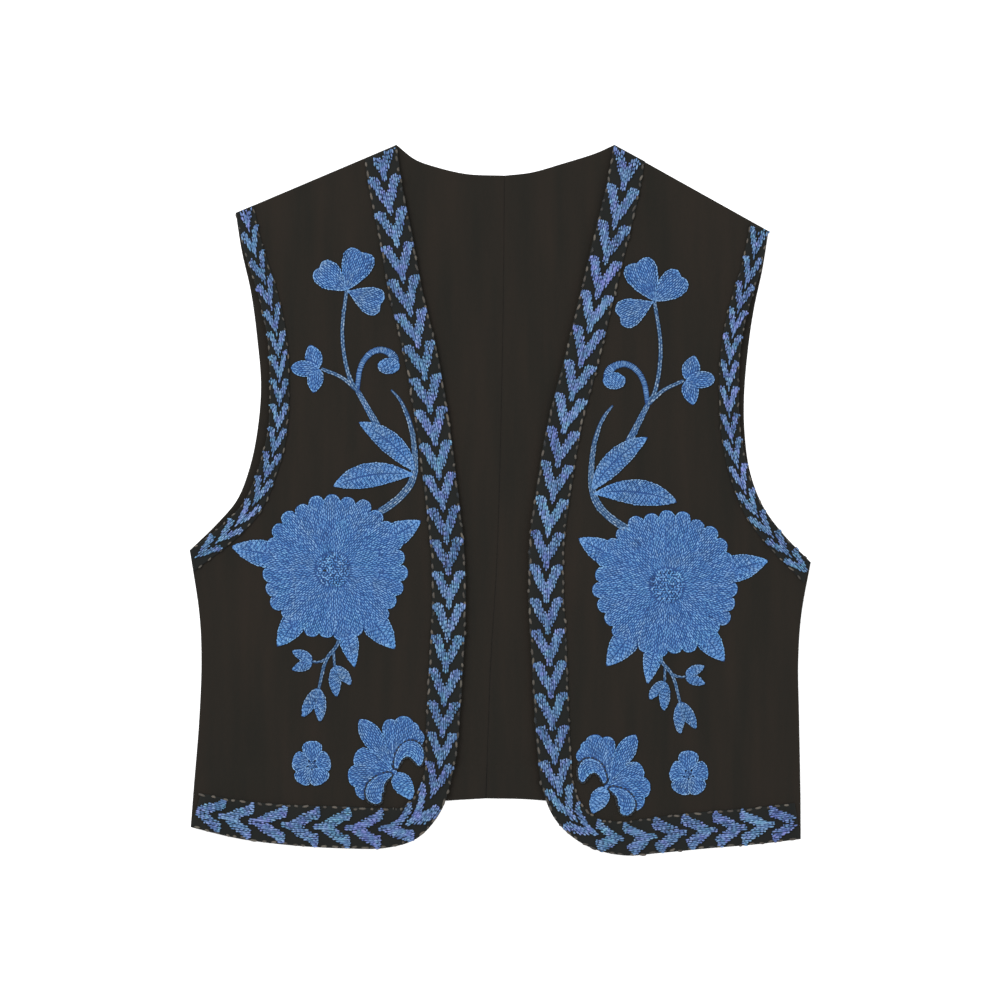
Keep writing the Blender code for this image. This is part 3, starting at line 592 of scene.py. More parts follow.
def area_of(outline: np.ndarray) -> float:
    """The area inside a closed outline."""
    x, y = outline.T
    return abs((x * np.roll(y, -1) - y * np.roll(x, -1)).sum()) / 2


def smooth_step(value: np.ndarray) -> np.ndarray:
    """A soft step from 0 to 1 as the value goes from 0 to 1."""
    value = np.clip(value, 0, 1)
    return value * value * (3 - 2 * value)


def hex_points(low: np.ndarray, high: np.ndarray, spacing: float) -> np.ndarray:
    """Points of a triangular grid over a box.

    Args:
        low: The box's lower corner.
        high: Its upper corner.
        spacing: The distance between neighbours.

    Returns:
        The points, as (n, 2).
    """
    step = spacing * math.sqrt(3) / 2
    found = []
    for row, y in enumerate(np.arange(low[1], high[1], step)):
        across = np.arange(low[0] + (spacing / 2 if row % 2 else 0.0), high[0], spacing)
        found.append(np.column_stack([across, np.full(len(across), y)]))
    return np.vstack(found)


def triangulate(
    outline: np.ndarray, lines: list[np.ndarray], rims: Sequence[float], spacing: float
) -> tuple[np.ndarray, np.ndarray]:
    """Triangles that fill an outline.

    Args:
        outline: The closed outline.
        lines: Open lines inside it that edges must follow.
        rims: How far in each ring of points beside the outline lies.
        spacing: The distance between free points.

    Returns:
        The points and the triangles.
    """
    rings = [outline] + [inset(outline, depth) for depth in rims]
    points = np.vstack(rings + lines)
    edges = []
    first = 0
    for ring in rings:
        edges += [(first + i, first + (i + 1) % len(ring)) for i in range(len(ring))]
        first += len(ring)
    for line in lines:
        edges += [(first + i, first + i + 1) for i in range(len(line) - 1)]
        first += len(line)
    grid = hex_points(outline.min(0), outline.max(0), spacing)
    grid = grid[inside(grid, rings[-1])]
    for ring in [np.vstack([rings[-1], rings[-1][:1]]), *lines]:
        grid = grid[distance_to(grid, ring) > spacing * 0.5]
    flat = [Vector(p) for p in np.vstack([points, grid]).tolist()]
    found, _, faces, _, _, _ = delaunay_2d_cdt(flat, edges, [], 0, 0.01)
    found = np.array([tuple(p) for p in found])
    faces = np.array(faces)
    faces = faces[inside(found[faces].mean(1), outline)]
    used = np.unique(faces)
    place = np.full(len(found), -1)
    place[used] = np.arange(len(used))
    return found[used], place[faces]


@dataclass
class MeshParts:
    """Points, triangles and tones gathered for one mesh. Lengths are in millimetres."""

    points: list[np.ndarray] = field(default_factory=list)
    triangles: list[np.ndarray] = field(default_factory=list)
    tones: list[np.ndarray] = field(default_factory=list)
    tints: list[np.ndarray] = field(default_factory=list)
    count: int = 0

    def add(
        self, points: np.ndarray, triangles: np.ndarray, tones: np.ndarray | float = 0.5,
        tints: np.ndarray | float = 0.0,
    ) -> None:
        """Adds one shape.

        Args:
            points: Its points, as (n, 3).
            triangles: Its triangles, as indices into those points.
            tones: How light each point's thread is, from 0 to 1, or one number for all.
            tints: How much warmer each point's thread is, likewise.
        """
        self.points.append(points)
        self.triangles.append(np.asarray(triangles) + self.count)
        self.tones.append(np.broadcast_to(tones, len(points)))
        self.tints.append(np.broadcast_to(tints, len(points)))
        self.count += len(points)

    def make(self, name: str, material: bpy.types.Material) -> bpy.types.Object:
        """The mesh object, in metres and shaded smooth.

        Args:
            name: The name of the mesh and the object.
            material: Its material.

        Returns:
            The object.
        """
        points = np.vstack(self.points) * MM
        triangles = np.vstack(self.triangles)
        mesh = bpy.data.meshes.new(name)
        mesh.vertices.add(len(points))
        mesh.vertices.foreach_set("co", points.astype(np.float32).ravel())
        mesh.loops.add(len(triangles) * 3)
        mesh.loops.foreach_set("vertex_index", triangles.astype(np.int32).ravel())
        mesh.polygons.add(len(triangles))
        mesh.polygons.foreach_set("loop_start", np.arange(0, len(triangles) * 3, 3, dtype=np.int32))
        mesh.polygons.foreach_set("use_smooth", np.ones(len(triangles), bool))
        for attribute, values in (("tone", self.tones), ("tint", self.tints)):
            data = mesh.attributes.new(attribute, "FLOAT", "POINT").data
            data.foreach_set("value", np.concatenate(values).astype(np.float32))
        mesh.update(calc_edges=True)
        mesh.materials.append(material)
        obj = bpy.data.objects.new(name, mesh)
        bpy.context.scene.collection.objects.link(obj)
        return obj


def shell(flat: np.ndarray, triangles: np.ndarray, bottom: np.ndarray, top: np.ndarray) -> MeshParts:
    """A closed wall of cloth: the same triangles below and above, joined round every open edge.

    Args:
        flat: The points, as (n, 2).
        triangles: The triangles between them.
        bottom: The height of the under face at each point.
        top: The height of the upper face at each point.

    Returns:
        The closed wall.
    """
    x, y = flat[triangles].transpose(2, 0, 1)
    turns = (x[:, 1] - x[:, 0]) * (y[:, 2] - y[:, 0]) - (x[:, 2] - x[:, 0]) * (y[:, 1] - y[:, 0])
    if turns.sum() < 0:
        triangles = triangles[:, ::-1]
    count = len(flat)
    ends = {(int(t[i]), int(t[(i + 1) % 3])) for t in triangles for i in range(3)}
    a, b = np.array(sorted((a, b) for a, b in ends if (b, a) not in ends)).T
    walls = np.vstack([np.column_stack([a, b, b + count]), np.column_stack([a, b + count, a + count])])
    points = np.vstack([np.column_stack([flat, bottom]), np.column_stack([flat, top])])
    parts = MeshParts()
    parts.add(points, np.vstack([triangles[:, ::-1], triangles + count, walls]))
    return parts


def grid_triangles(down: int, columns: int) -> np.ndarray:
    """Triangles over a grid of points, two to a cell.

    Args:
        down: How many rows of points there are.
        columns: How many points a row has.

    Returns:
        The triangles, as (n, 3).
    """
    cell = np.arange(down * columns).reshape(down, columns)
    a, b = cell[:-1, :-1].ravel(), cell[1:, :-1].ravel()
    c, d = cell[1:, 1:].ravel(), cell[:-1, 1:].ravel()
    return np.vstack([np.column_stack([a, b, c]), np.column_stack([a, c, d])])


def tube_triangles(stations: int, corners: int) -> np.ndarray:
    """Triangles round a closed tube, whose points run station by station.

    Args:
        stations: How many stations there are.
        corners: How many points a station has.

    Returns:
        The triangles, with both ends closed.
    """
    first = np.arange(stations - 1)[:, None] * corners
    b = (first + np.arange(corners)).ravel()
    c = (first + (np.arange(corners) + 1) % corners).ravel()
    sides = [np.column_stack([b, c + corners, c]), np.column_stack([b, b + corners, c + corners])]
    cap = np.array([(0, i, i + 1) for i in range(1, corners - 1)])
    return np.vstack([*sides, cap, cap[:, ::-1] + (stations - 1) * corners])


def strand_points() -> tuple[np.ndarray, np.ndarray, np.ndarray, np.ndarray]:
    """A strand's points, as shares along, out and up, and how much lighter each is, as painted shade and
    highlight.

    Returns:
        The shares along, out and up, and how much lighter each point is, as painted shade at its foot and a
        painted highlight on its crest.
    """
    stations, section = np.array(STRAND), np.array(SECTION)
    along = np.repeat(stations[:, 0], len(section))
    out = np.outer(stations[:, 1], section[:, 0]).ravel()
    raised = np.outer(stations[:, 2], section[:, 1]).ravel()
    low = np.tile(section[:, 1] == 0, len(stations))
    lighter = PAINTED_HIGHLIGHT_RISE * raised + LOW_PAINTED_SHADE
    return along, out, np.where(low, STRAND_FOOT, raised), np.where(low, FOOT_PAINTED_SHADE, lighter)


class Signal:
    """A socket of a material's nodes, with arithmetic that adds the nodes it needs."""

    def __init__(self, graph: Graph, socket: bpy.types.NodeSocket) -> None:
        """Wraps a socket of this graph."""
        self.graph = graph
        self.socket = socket

    def _math(self, operation: str, *values: Signal | float) -> Signal:
        """A Math node on these values."""
        return self.graph.add("ShaderNodeMath", {"operation": operation}, dict(enumerate(values)))

    def __add__(self, other: Signal | float) -> Signal:
        """The sum."""
        return self._math("ADD", self, other)

    __radd__ = __add__

    def __sub__(self, other: Signal | float) -> Signal:
        """The difference."""
        return self._math("SUBTRACT", self, other)

    def __rsub__(self, other: Signal | float) -> Signal:
        """The difference, the other way round."""
        return self._math("SUBTRACT", other, self)

    def __mul__(self, other: Signal | float) -> Signal:
        """The product."""
        return self._math("MULTIPLY", self, other)

    __rmul__ = __mul__

    def sine(self) -> Signal:
        """The sine."""
        return self._math("SINE", self)

    def limited(self) -> Signal:
        """The value, held between 0 and 1."""
        return self.graph.add("ShaderNodeClamp", None, {"Value": self})


class Graph:
    """The nodes of one material."""

    def __init__(self, name: str) -> None:
        """Starts an empty material of this name."""
        self.material = bpy.data.materials.new(name)
        self.material.use_nodes = True
        self.tree = self.material.node_tree
        self.tree.nodes.clear()

    def add(
        self,
        kind: str,
        settings: dict[str, object] | None = None,
        inputs: dict[str | int, object] | None = None,
        output: str | int = 0,
    ) -> Signal:
        """Adds a node.

        Args:
            kind: The node's type.
            settings: Its settings, which are set first. A ramp's are under "stops".
            inputs: The values or links of its sockets, by name or number.
            output: The socket to return.

        Returns:
            The node's output.
        """
        node = self.tree.nodes.new(kind)
        for key, value in (settings or {}).items():
            if key == "stops":
                self._set_stops(node, value)
            else:
                setattr(node, key, value)
        for key, value in (inputs or {}).items():
            if isinstance(value, Signal):
                self.tree.links.new(value.socket, node.inputs[key])
            else:
                node.inputs[key].default_value = value
        return Signal(self, node.outputs[output])

    @staticmethod
    def _set_stops(node: bpy.types.Node, stops: Sequence[tuple[float, Colour]]) -> None:
        """Sets a ramp's stops, as places and colours.

        Args:
            node: The ramp.
            stops: Each stop's place and colour.
        """
        elements = node.color_ramp.elements
        while len(elements) < len(stops):
            elements.new(1.0)
        for element, (place, colour) in zip(elements, stops, strict=True):
            element.position = place
            element.color = (*colour, 1.0)

    def position(self) -> Signal:
        """Where a point is on the object, in metres."""
        return self.add("ShaderNodeTexCoord", output="Object")

    def attribute(self, name: str) -> Signal:
        """A number that each point of the mesh holds."""
        return self.add("ShaderNodeAttribute", {"attribute_name": name}, None, "Fac")

    def split(self, vector: Signal) -> tuple[Signal, Signal, Signal]:
        """A vector's three numbers.

        Args:
            vector: The vector.

        Returns:
            Its x, y and z.
        """
        first = self.add("ShaderNodeSeparateXYZ", None, {"Vector": vector})
        sockets = first.socket.node.outputs
        return first, Signal(self, sockets[1]), Signal(self, sockets[2])

    def stretched(self, vector: Signal, scale: Colour) -> Signal:
        """A vector times a scale for each axis."""
        return self.add("ShaderNodeVectorMath", {"operation": "MULTIPLY"}, {0: vector, 1: scale})

    def noise(self, vector: Signal, scale: float, detail: float = 2.0) -> Signal:
        """Noise of this many blotches a metre, from 0 to 1."""
        return self.add("ShaderNodeTexNoise", None, {"Vector": vector, "Scale": scale, "Detail": detail})

    def mix(
        self, factor: Signal | float, low: Signal | Colour, high: Signal | Colour, blend: str = "MIX"
    ) -> Signal:
        """A colour between two, or one that the second is blended into, by a factor from 0 to 1.

        Args:
            factor: How much of the second shows, from 0 to 1.
            low: The first colour.
            high: The second colour.
            blend: The way in which the second goes over the first.

        Returns:
            The mixed colour.
        """
        low, high = (c if isinstance(c, Signal) else (*c, 1.0) for c in (low, high))
        settings = {"data_type": "RGBA", "blend_type": blend}
        return self.add("ShaderNodeMix", settings, {0: factor, 6: low, 7: high}, 2)

    def bump(self, height: Signal, strength: float, distance: float) -> Signal:
        """A bumped normal."""
        inputs = {"Height": height, "Strength": strength, "Distance": distance}
        return self.add("ShaderNodeBump", None, inputs)

    def finish(self, **sockets: object) -> bpy.types.Material:
        """Ends the material in a Principled shader with these sockets, spaces written as _.

        Args:
            sockets: The values or links of the shader's sockets.

        Returns:
            The material.
        """
        inputs = {name.replace("_", " "): value for name, value in sockets.items()}
        inputs = {name: (*v, 1.0) if isinstance(v, tuple) else v for name, v in inputs.items()}
        shader = self.add("ShaderNodeBsdfPrincipled", None, inputs)
        output = self.tree.nodes.new("ShaderNodeOutputMaterial")
        self.tree.links.new(shader.socket, output.inputs["Surface"])
        return self.material


@dataclass(frozen=True)
class WovenCloth:
    """A matt plain weave, with faint lengthwise streaks where the cloth has worn paler."""

    name: str
    colour: Colour
    worn: Colour
    thread: float = 0.0009
    roughness: float = 0.92
    sheen: float = 0.03
    sheen_roughness: float = 0.6
    specular: float = 0.12
    streak_stretch: Colour = (60.0, 7.0, 7.0)
    streak_gain: float = 1.6
    streak_cut: float = 0.5
    slub_stretch: Colour = (1.0, 0.16, 1.0)
    slub_scale: float = 1400.0
    slub_gain: float = 0.5
    slub_cut: float = 0.2
    weave_share: float = 0.5
    bump_strength: float = 0.35
    bump_height: float = 0.00012

    def material(self) -> bpy.types.Material:
        """The cloth's material."""
        graph = Graph(self.name)
        place = graph.position()
        x, y, _ = graph.split(place)
        turns = 2 * math.pi / self.thread
        weave = (x * turns).sine() * (y * turns).sine()
        streaks = graph.noise(graph.stretched(place, self.streak_stretch), 1.0, 3.0)
        slubs = graph.noise(graph.stretched(place, self.slub_stretch), self.slub_scale)
        wear = streaks * self.streak_gain - self.streak_cut + slubs * self.slub_gain - self.slub_cut
        height = weave * self.weave_share + slubs
        return graph.finish(
            Base_Color=graph.mix(wear.limited(), self.colour, self.worn),
            Roughness=self.roughness,
            Sheen_Weight=self.sheen,
            Sheen_Roughness=self.sheen_roughness,
            Specular_IOR_Level=self.specular,
            Normal=graph.bump(height, self.bump_strength, self.bump_height),
        )


@dataclass(frozen=True)
class Yarn:
    """Embroidery thread, with painted shade down between its stitches and a painted highlight on their
    crests.
    """

    name: str
    # The colours from dark to pale: the dark end is painted shade between the stitches and in the padding,
    # and the pale end is partly a painted highlight on their crests.
    painted_shade: Colour
    middle: Colour
    pale: Colour
    warm: Colour = (1.55, 1.0, 0.72)
    cool: Colour = (0.85, 1.12, 0.95)
    blotch: float = 90.0
    mottle: float = 0.35
    roughness: float = 0.55
    sheen: float = 0.1
    sheen_roughness: float = 0.4
    specular: float = 0.3
    # The darkest stop, which the deepest painted shade between the stitches and round lifted forms reaches.
    ground: Colour = (0.006, 0.010, 0.014)
    painted_shade_place: float = 0.12
    fibre_scale: float = 2600.0
    fibre_shade: float = 0.30
    bump_strength: float = 0.4
    bump_height: float = 0.00015

    def material(self) -> bpy.types.Material:
        """The thread's material."""
        graph = Graph(self.name)
        place = graph.position()
        tone = graph.attribute("tone")
        fibre = graph.noise(place, self.fibre_scale)
        shade = (tone + fibre * self.fibre_shade - self.fibre_shade / 2).limited()
        # A ramp from painted shade at low tones to a partly painted highlight at high tones.
        places = (0.0, self.painted_shade_place, 0.5, 1.0)
        stops = list(zip(places, (self.ground, self.painted_shade, self.middle, self.pale), strict=True))
        colour = graph.add("ShaderNodeValToRGB", {"stops": stops}, {"Fac": shade})
        blotches = (graph.noise(place, self.blotch, 1.0) - 0.5) * (self.mottle * 4)
        hue = graph.attribute("tint") + blotches
        colour = graph.mix(hue.limited(), colour, self.warm, "MULTIPLY")
        colour = graph.mix((hue * -1.0).limited(), colour, self.cool, "MULTIPLY")
        return graph.finish(
            Base_Color=colour,
            Roughness=self.roughness,
            Sheen_Weight=self.sheen,
            Sheen_Roughness=self.sheen_roughness,
            Specular_IOR_Level=self.specular,
            Normal=graph.bump(fibre, self.bump_strength, self.bump_height),
        )


@dataclass(frozen=True)
class Floor:
    """A plain pale studio floor that gives off a little light, so that it comes out white."""

    colour: Colour = (0.9, 0.9, 0.9)
    fleck: float = 0.99
    fleck_scale: float = 40.0
    roughness: float = 0.9
    specular: float = 0.1
    glow: float = 0.5

    def material(self) -> bpy.types.Material:
        """The floor's material."""
        graph = Graph("studio floor")
        grain = graph.noise(graph.position(), self.fleck_scale)
        return graph.finish(
            Base_Color=graph.mix(grain, self.colour, tuple(c * self.fleck for c in self.colour)),
            Roughness=self.roughness,
            Specular_IOR_Level=self.specular,
            Emission_Color=self.colour,
            Emission_Strength=self.glow,
        )


VEST_CLOTH = WovenCloth("vest cloth", (0.0098, 0.0090, 0.0069), (0.0172, 0.0126, 0.0092))
BRAID_CLOTH = WovenCloth(
    "braid ground", (0.0070, 0.0080, 0.0076), (0.0105, 0.0112, 0.0100), thread=0.0013, roughness=0.85
)
FLOWER_YARN = Yarn(
    "embroidery thread", (0.004, 0.041, 0.172), (0.045, 0.160, 0.405), (0.180, 0.358, 0.615)
)
BRAID_YARN = Yarn(
    "braid thread", (0.007, 0.027, 0.083), (0.064, 0.136, 0.292), (0.200, 0.318, 0.525),
    warm=(1.25, 0.85, 1.15), cool=(0.80, 1.15, 0.95), blotch=200.0, mottle=0.8,
)
DASH_YARN = Yarn(
    "running stitch thread", (0.014, 0.012, 0.010), (0.044, 0.038, 0.031), (0.090, 0.078, 0.062),
    warm=(1.15, 1.0, 1.0), cool=(0.9, 1.05, 1.0),
)


@dataclass
class Side:
    """The curves and heights of one half of the vest."""

    hand: Hand

    def __post_init__(self) -> None:
        """Works out the curves from the tables."""
        name = self.hand.value
        edge = points_of(FRONT_EDGE_COLUMNS, FRONT_EDGE, self.hand)
        widths = [row[name + "_braid"] for row in rows(FRONT_EDGE_COLUMNS, FRONT_EDGE)]
        self.front_edge = smooth_curve(np.column_stack([edge, widths]))
        self.side_seam = smooth_curve(points_of(SIDE_COLUMNS, SIDE, self.hand))
        armhole = points_of(ARMHOLE_COLUMNS, ARMHOLE, self.hand)
        stands_out = [row[name + "_back"] for row in rows(ARMHOLE_COLUMNS, ARMHOLE)]
        self.armhole = smooth_curve(np.column_stack([armhole, stands_out]))
        self.shoulder = np.array([armhole[0], edge[0]])
        self.back_hem = smooth_curve(points_of(BACK_HEM_COLUMNS, BACK_HEM, self.hand))
        self.back_neck = smooth_curve(points_of(BACK_NECK_COLUMNS, BACK_NECK, self.hand))
        self.back_seam = smooth_curve(BACK_SEAM)

    def front_outline(self, spacing: float) -> np.ndarray:
        """The front panel: edge and hem, side seam, armhole and shoulder."""
        curves = (self.front_edge[:, :2], self.side_seam, self.armhole[::-1, :2], self.shoulder)
        return np.vstack([resample(curve, spacing)[:-1] for curve in curves])

    def back_armhole(self) -> np.ndarray:
        """The back's armhole, which shows past the front's."""
        out = self.hand.mirror * self.armhole[:, 2:] * normals_of(self.armhole)
        return self.armhole[:, :2] + out

    def back_outline(self, spacing: float) -> np.ndarray:
        """Half of the back: centre seam, hem, side seam, armhole, shoulder and neck.

        Args:
            spacing: About how far apart its points are.

        Returns:
            The closed outline.
        """
        curves = (
            self.back_seam,
            self.back_hem,
            self.side_seam,
            self.back_armhole()[::-1],
            self.shoulder,
            self.back_neck[::-1],
        )
        return np.vstack([resample(curve, spacing)[:-1] for curve in curves])

    def below_back_hem(self, flat: np.ndarray) -> np.ndarray:
        """How far each point lies past the back's hem, away from the neck."""
        order = np.argsort(self.back_hem[:, 0])
        return np.interp(flat[:, 0], self.back_hem[order, 0], self.back_hem[order, 1]) - flat[:, 1]

    def hem_turn_line(self, rise: float, spacing: float) -> np.ndarray:
        """A line across the back, this far above its hem."""
        line = resample(self.back_hem, spacing) + np.array([0.0, rise])
        return line[2:-2]

    def creased(self, flat: np.ndarray, table: Table) -> np.ndarray:
        """The height that this side's creases or folds in a table add.

        Args:
            flat: The points, as (n, 2).
            table: Creases or folds, in the folds' columns.

        Returns:
            The added height at each point.
        """
        height = np.zeros(len(flat))
        for fold in rows(FOLD_COLUMNS, table):
            if fold["side"] != self.hand.value:
                continue
            start = np.array([fold["from_x"], fold["from_y"]])
            run = np.array([fold["to_x"], fold["to_y"]]) - start
            share = np.clip((flat - start) @ run / (run @ run), 0, 1)
            away = np.linalg.norm(flat - start - share[:, None] * run, axis=1)
            height += fold["height"] * np.exp(-0.5 * (away / fold["spread"]) ** 2)
        return height

    def back_top(self, flat: np.ndarray) -> np.ndarray:
        """The height of the back's upper face, thicker where the hem is turned up."""
        above = -self.below_back_hem(flat)
        return BACK_WALL + HEM_TURN_WALL * smooth_step(HEM_TURN_DEPTH + 1.0 - above)

    def front_bottom(self, flat: np.ndarray) -> np.ndarray:
        """The height of the front's under face: on the back, eased to its seams, with folds.

        Args:
            flat: The points, as (n, 2).

        Returns:
            The height at each point.
        """
        past_hem = self.below_back_hem(flat)
        height = np.full(len(flat), BACK_WALL + LAYER_GAP)
        height += HEM_TURN_WALL * smooth_step((past_hem - TURN_RISE_START) / TURN_RISE_RUN)
        height -= HEM_DROOP * smooth_step((past_hem - DROOP_START) / DROOP_RUN)
        to_seam = np.minimum(distance_to(flat, self.side_seam), distance_to(flat, self.shoulder))
        eased = 1 - np.exp(-((to_seam / SEAM_EASE) ** 2))
        raised = FRONT_LOFT + self.creased(flat, FOLDS) + self.creased(flat, CREASES)
        return height + eased * raised

    def ground(self, flat: np.ndarray) -> np.ndarray:
        """The height of the front's upper face, which the braid and embroidery lie on."""
        return self.front_bottom(flat) + FRONT_WALL


def rounded_edge(to_edge: np.ndarray, radius: float) -> np.ndarray:
    """How far a wall's face drops near its edge, as a share of half its thickness."""
    share = np.clip(to_edge / radius, 0, 1)
    return 1 - np.sqrt(np.clip(1 - (1 - share) ** 2, 0, 1))


def edge_drops(count: int) -> np.ndarray:
    """How far each of a row of points drops, as a share of the wall, to round off both its ends.

    Args:
        count: How many points there are.

    Returns:
        A drop for each point.
    """
    drops = np.zeros(count)
    drops[[0, 1, -2, -1]] = 0.5, 0.2, 0.2, 0.5
    return drops


@dataclass
class ClothPanel:
    """A cut piece of cloth with soft edges, on one side of the vest."""

    side: Side
    spacing: float
    outline_spacing: float = 4.0
    edge_radius: float = 1.2
    edge_share: float = 0.92
    rims: tuple[float, ...] = (0.35, 1.2)

    def make(
        self, name: str, outline: np.ndarray, lines: list[np.ndarray], faces: Callable
    ) -> bpy.types.Object:
        """Builds the panel's closed shell.

        Args:
            name: The piece's name.
            outline: Its closed outline.
            lines: Lines inside it that edges must follow.
            faces: A function that gives the heights of the under and upper face at some points.

        Returns:
            The panel.
        """
        flat, triangles = triangulate(outline, lines, self.rims, self.spacing)
        bottom, top = faces(flat)
        ring = np.vstack([outline, outline[:1]])
        near = distance_to(flat, ring)
        drop = rounded_edge(near, self.edge_radius) * (top - bottom) / 2 * self.edge_share
        panel = shell(flat, triangles, bottom + drop, top - drop).make(name, VEST_CLOTH.material())
        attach(panel, "root")
        return panel


@dataclass
class FrontPanel(ClothPanel):
    """One front: a single panel that lies on the back."""

    spacing: float = 3.0

    def build(self) -> bpy.types.Object:
        """The front panel.

        Returns:
            The panel.
        """
        outline = self.side.front_outline(self.outline_spacing)

        def faces(flat: np.ndarray) -> tuple[np.ndarray, np.ndarray]:
            """The heights of the under and upper face."""
            bottom = self.side.front_bottom(flat)
            return bottom, bottom + FRONT_WALL

        self.outline = outline
        return self.make("front_panel_" + self.side.hand.value, outline, [], faces)

    def declare(self, panel: bpy.types.Object, worn_on_it: list[bpy.types.Object]) -> None:
        """Args:
            panel: The panel, not used.
            worn_on_it: The motifs stitched on it, not used.
        """
        name = self.side.hand.value
        width, length = np.ptp(self.outline, axis=0) * MM
        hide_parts("front_" + name)
        area_of(self.outline) * MM * MM


@dataclass
class BackPanel(ClothPanel):
    """One half of the back, flat on its under face, with its hem turned up inside."""

    spacing: float = 4.2
    edge_ease: float = 12.0
    deepest_crease: float = -0.6
    turn_step: float = 1.0

    def build(self) -> bpy.types.Object:
        """The half of the back.

        Returns:
            The panel.
        """
        outline = self.side.back_outline(self.outline_spacing)
        depths = (HEM_TURN_DEPTH, HEM_TURN_DEPTH + self.turn_step)
        lines = [self.side.hem_turn_line(depth, self.outline_spacing) for depth in depths]

        def faces(flat: np.ndarray) -> tuple[np.ndarray, np.ndarray]:
            """The heights of the under and upper face."""
            near_edge = 1 - np.exp(-((distance_to(flat, outline) / self.edge_ease) ** 2))
            creases = self.side.creased(flat, BACK_CREASES) * near_edge
            top = self.side.back_top(flat) + np.maximum(creases, self.deepest_crease)
            return np.zeros(len(flat)), top

        self.outline = outline
        return self.make("back_panel_" + self.side.hand.value, outline, lines, faces)

    def declare(self, panel: bpy.types.Object) -> None:
        """Args:
            panel: The panel, not used.
        """
        width, length = np.ptp(self.outline, axis=0) * MM
        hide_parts("back_" + self.side.hand.value)
        area_of(self.outline) * MM * MM


@dataclass(frozen=True)
class Blade:
    """A leaf or petal on a bent spine.

    Rows of stitches follow it by shares along it, from 0 to 1, and across it, from -1 to 1.
    """

    x: float
    y: float
    direction: float
    length: float
    width: float
    root: float
    tip: float
    bend: float = 0.0
    notch: float = 0.0

    @property
    def reach(self) -> float:
        """The length of the spine."""
        return self.length

    def half(self, shares: np.ndarray) -> np.ndarray:
        """Half of the width at these shares along.

        Args:
            shares: The shares along.

        Returns:
            Half a width for each share.
        """
        peak = self.root / (self.root + self.tip)
        swell = (shares / peak) ** self.root * (np.maximum(1 - shares, 0) / (1 - peak)) ** self.tip
        return self.width / 2 * swell

    def at(self, shares: np.ndarray, across: np.ndarray) -> np.ndarray:
        """The points at these shares along and across.

        Args:
            shares: The shares along.
            across: The shares across.

        Returns:
            The points, as (n, 2).
        """
        half = self.half(shares)
        out = np.abs(across) * half
        pull = self.notch * np.maximum(0.0, 1 - out / (NOTCH_SPREAD * self.width)) ** 2 * shares**8
        shares = shares - pull
        turned = np.radians(self.bend) * shares
        angle = np.radians(self.direction) + turned / 2
        chord = shares * self.length * np.sinc(turned / (2 * math.pi))
        spine = np.column_stack([self.x + chord * np.cos(angle), self.y + chord * np.sin(angle)])
        facing = np.radians(self.direction) + turned + math.pi / 2
        return spine + (across * half)[:, None] * np.column_stack([np.cos(facing), np.sin(facing)])


class Band:
    """A stem or a curl: a smooth line of changing width with round ends."""

    def __init__(self, points: Iterable) -> None:
        """Works out the line from its points, each with a width."""
        self.line = resample(smooth_curve(points), 0.8)
        self.normals = normals_of(self.line)
        self.along = lengths_along(self.line)

    @property
    def reach(self) -> float:
        """The length of the line."""
        return float(self.along[-1])

    def half(self, shares: np.ndarray) -> np.ndarray:
        """Half of the width at these shares along.

        Args:
            shares: The shares along.

        Returns:
            Half a width for each share.
        """
        half = np.interp(shares * self.reach, self.along, self.line[:, 2]) / 2
        to_end = np.minimum(shares, 1 - shares) * self.reach / np.maximum(half, 0.1)
        return half * np.sqrt(1 - (1 - np.clip(to_end, 0.02, 1)) ** 2)

    def at(self, shares: np.ndarray, across: np.ndarray) -> np.ndarray:
        """The points at these shares along and across.

        Args:
            shares: The shares along.
            across: The shares across.

        Returns:
            The points, as (n, 2).
        """
        on = shares * self.reach
        line = np.column_stack([np.interp(on, self.along, c) for c in self.line[:, :2].T])
        out = np.column_stack([np.interp(on, self.along, c) for c in self.normals.T])
        return line + (across * self.half(shares))[:, None] * out


Form = Blade | Band


def spoke(
    degrees: float, root: float, length: float, width: float, powers: tuple[float, float]
) -> Blade:
    """A blade that points straight out from the frame's middle, with its root this far out."""
    way = math.radians(degrees)
    return Blade(root * math.cos(way), root * math.sin(way), degrees, length, width, *powers)


def outline_of(form: Form, count: int = 24) -> np.ndarray:
    """The closed outline of a form.

    Args:
        form: The form.
        count: How many points each of its sides has.

    Returns:
        The outline's points.
    """
    shares = (1 - np.cos(np.linspace(0, math.pi, count))) / 2
    there = form.at(shares, np.ones(count))
    back = form.at(shares[-2:0:-1], -np.ones(count - 2))
    return np.vstack([there, back])


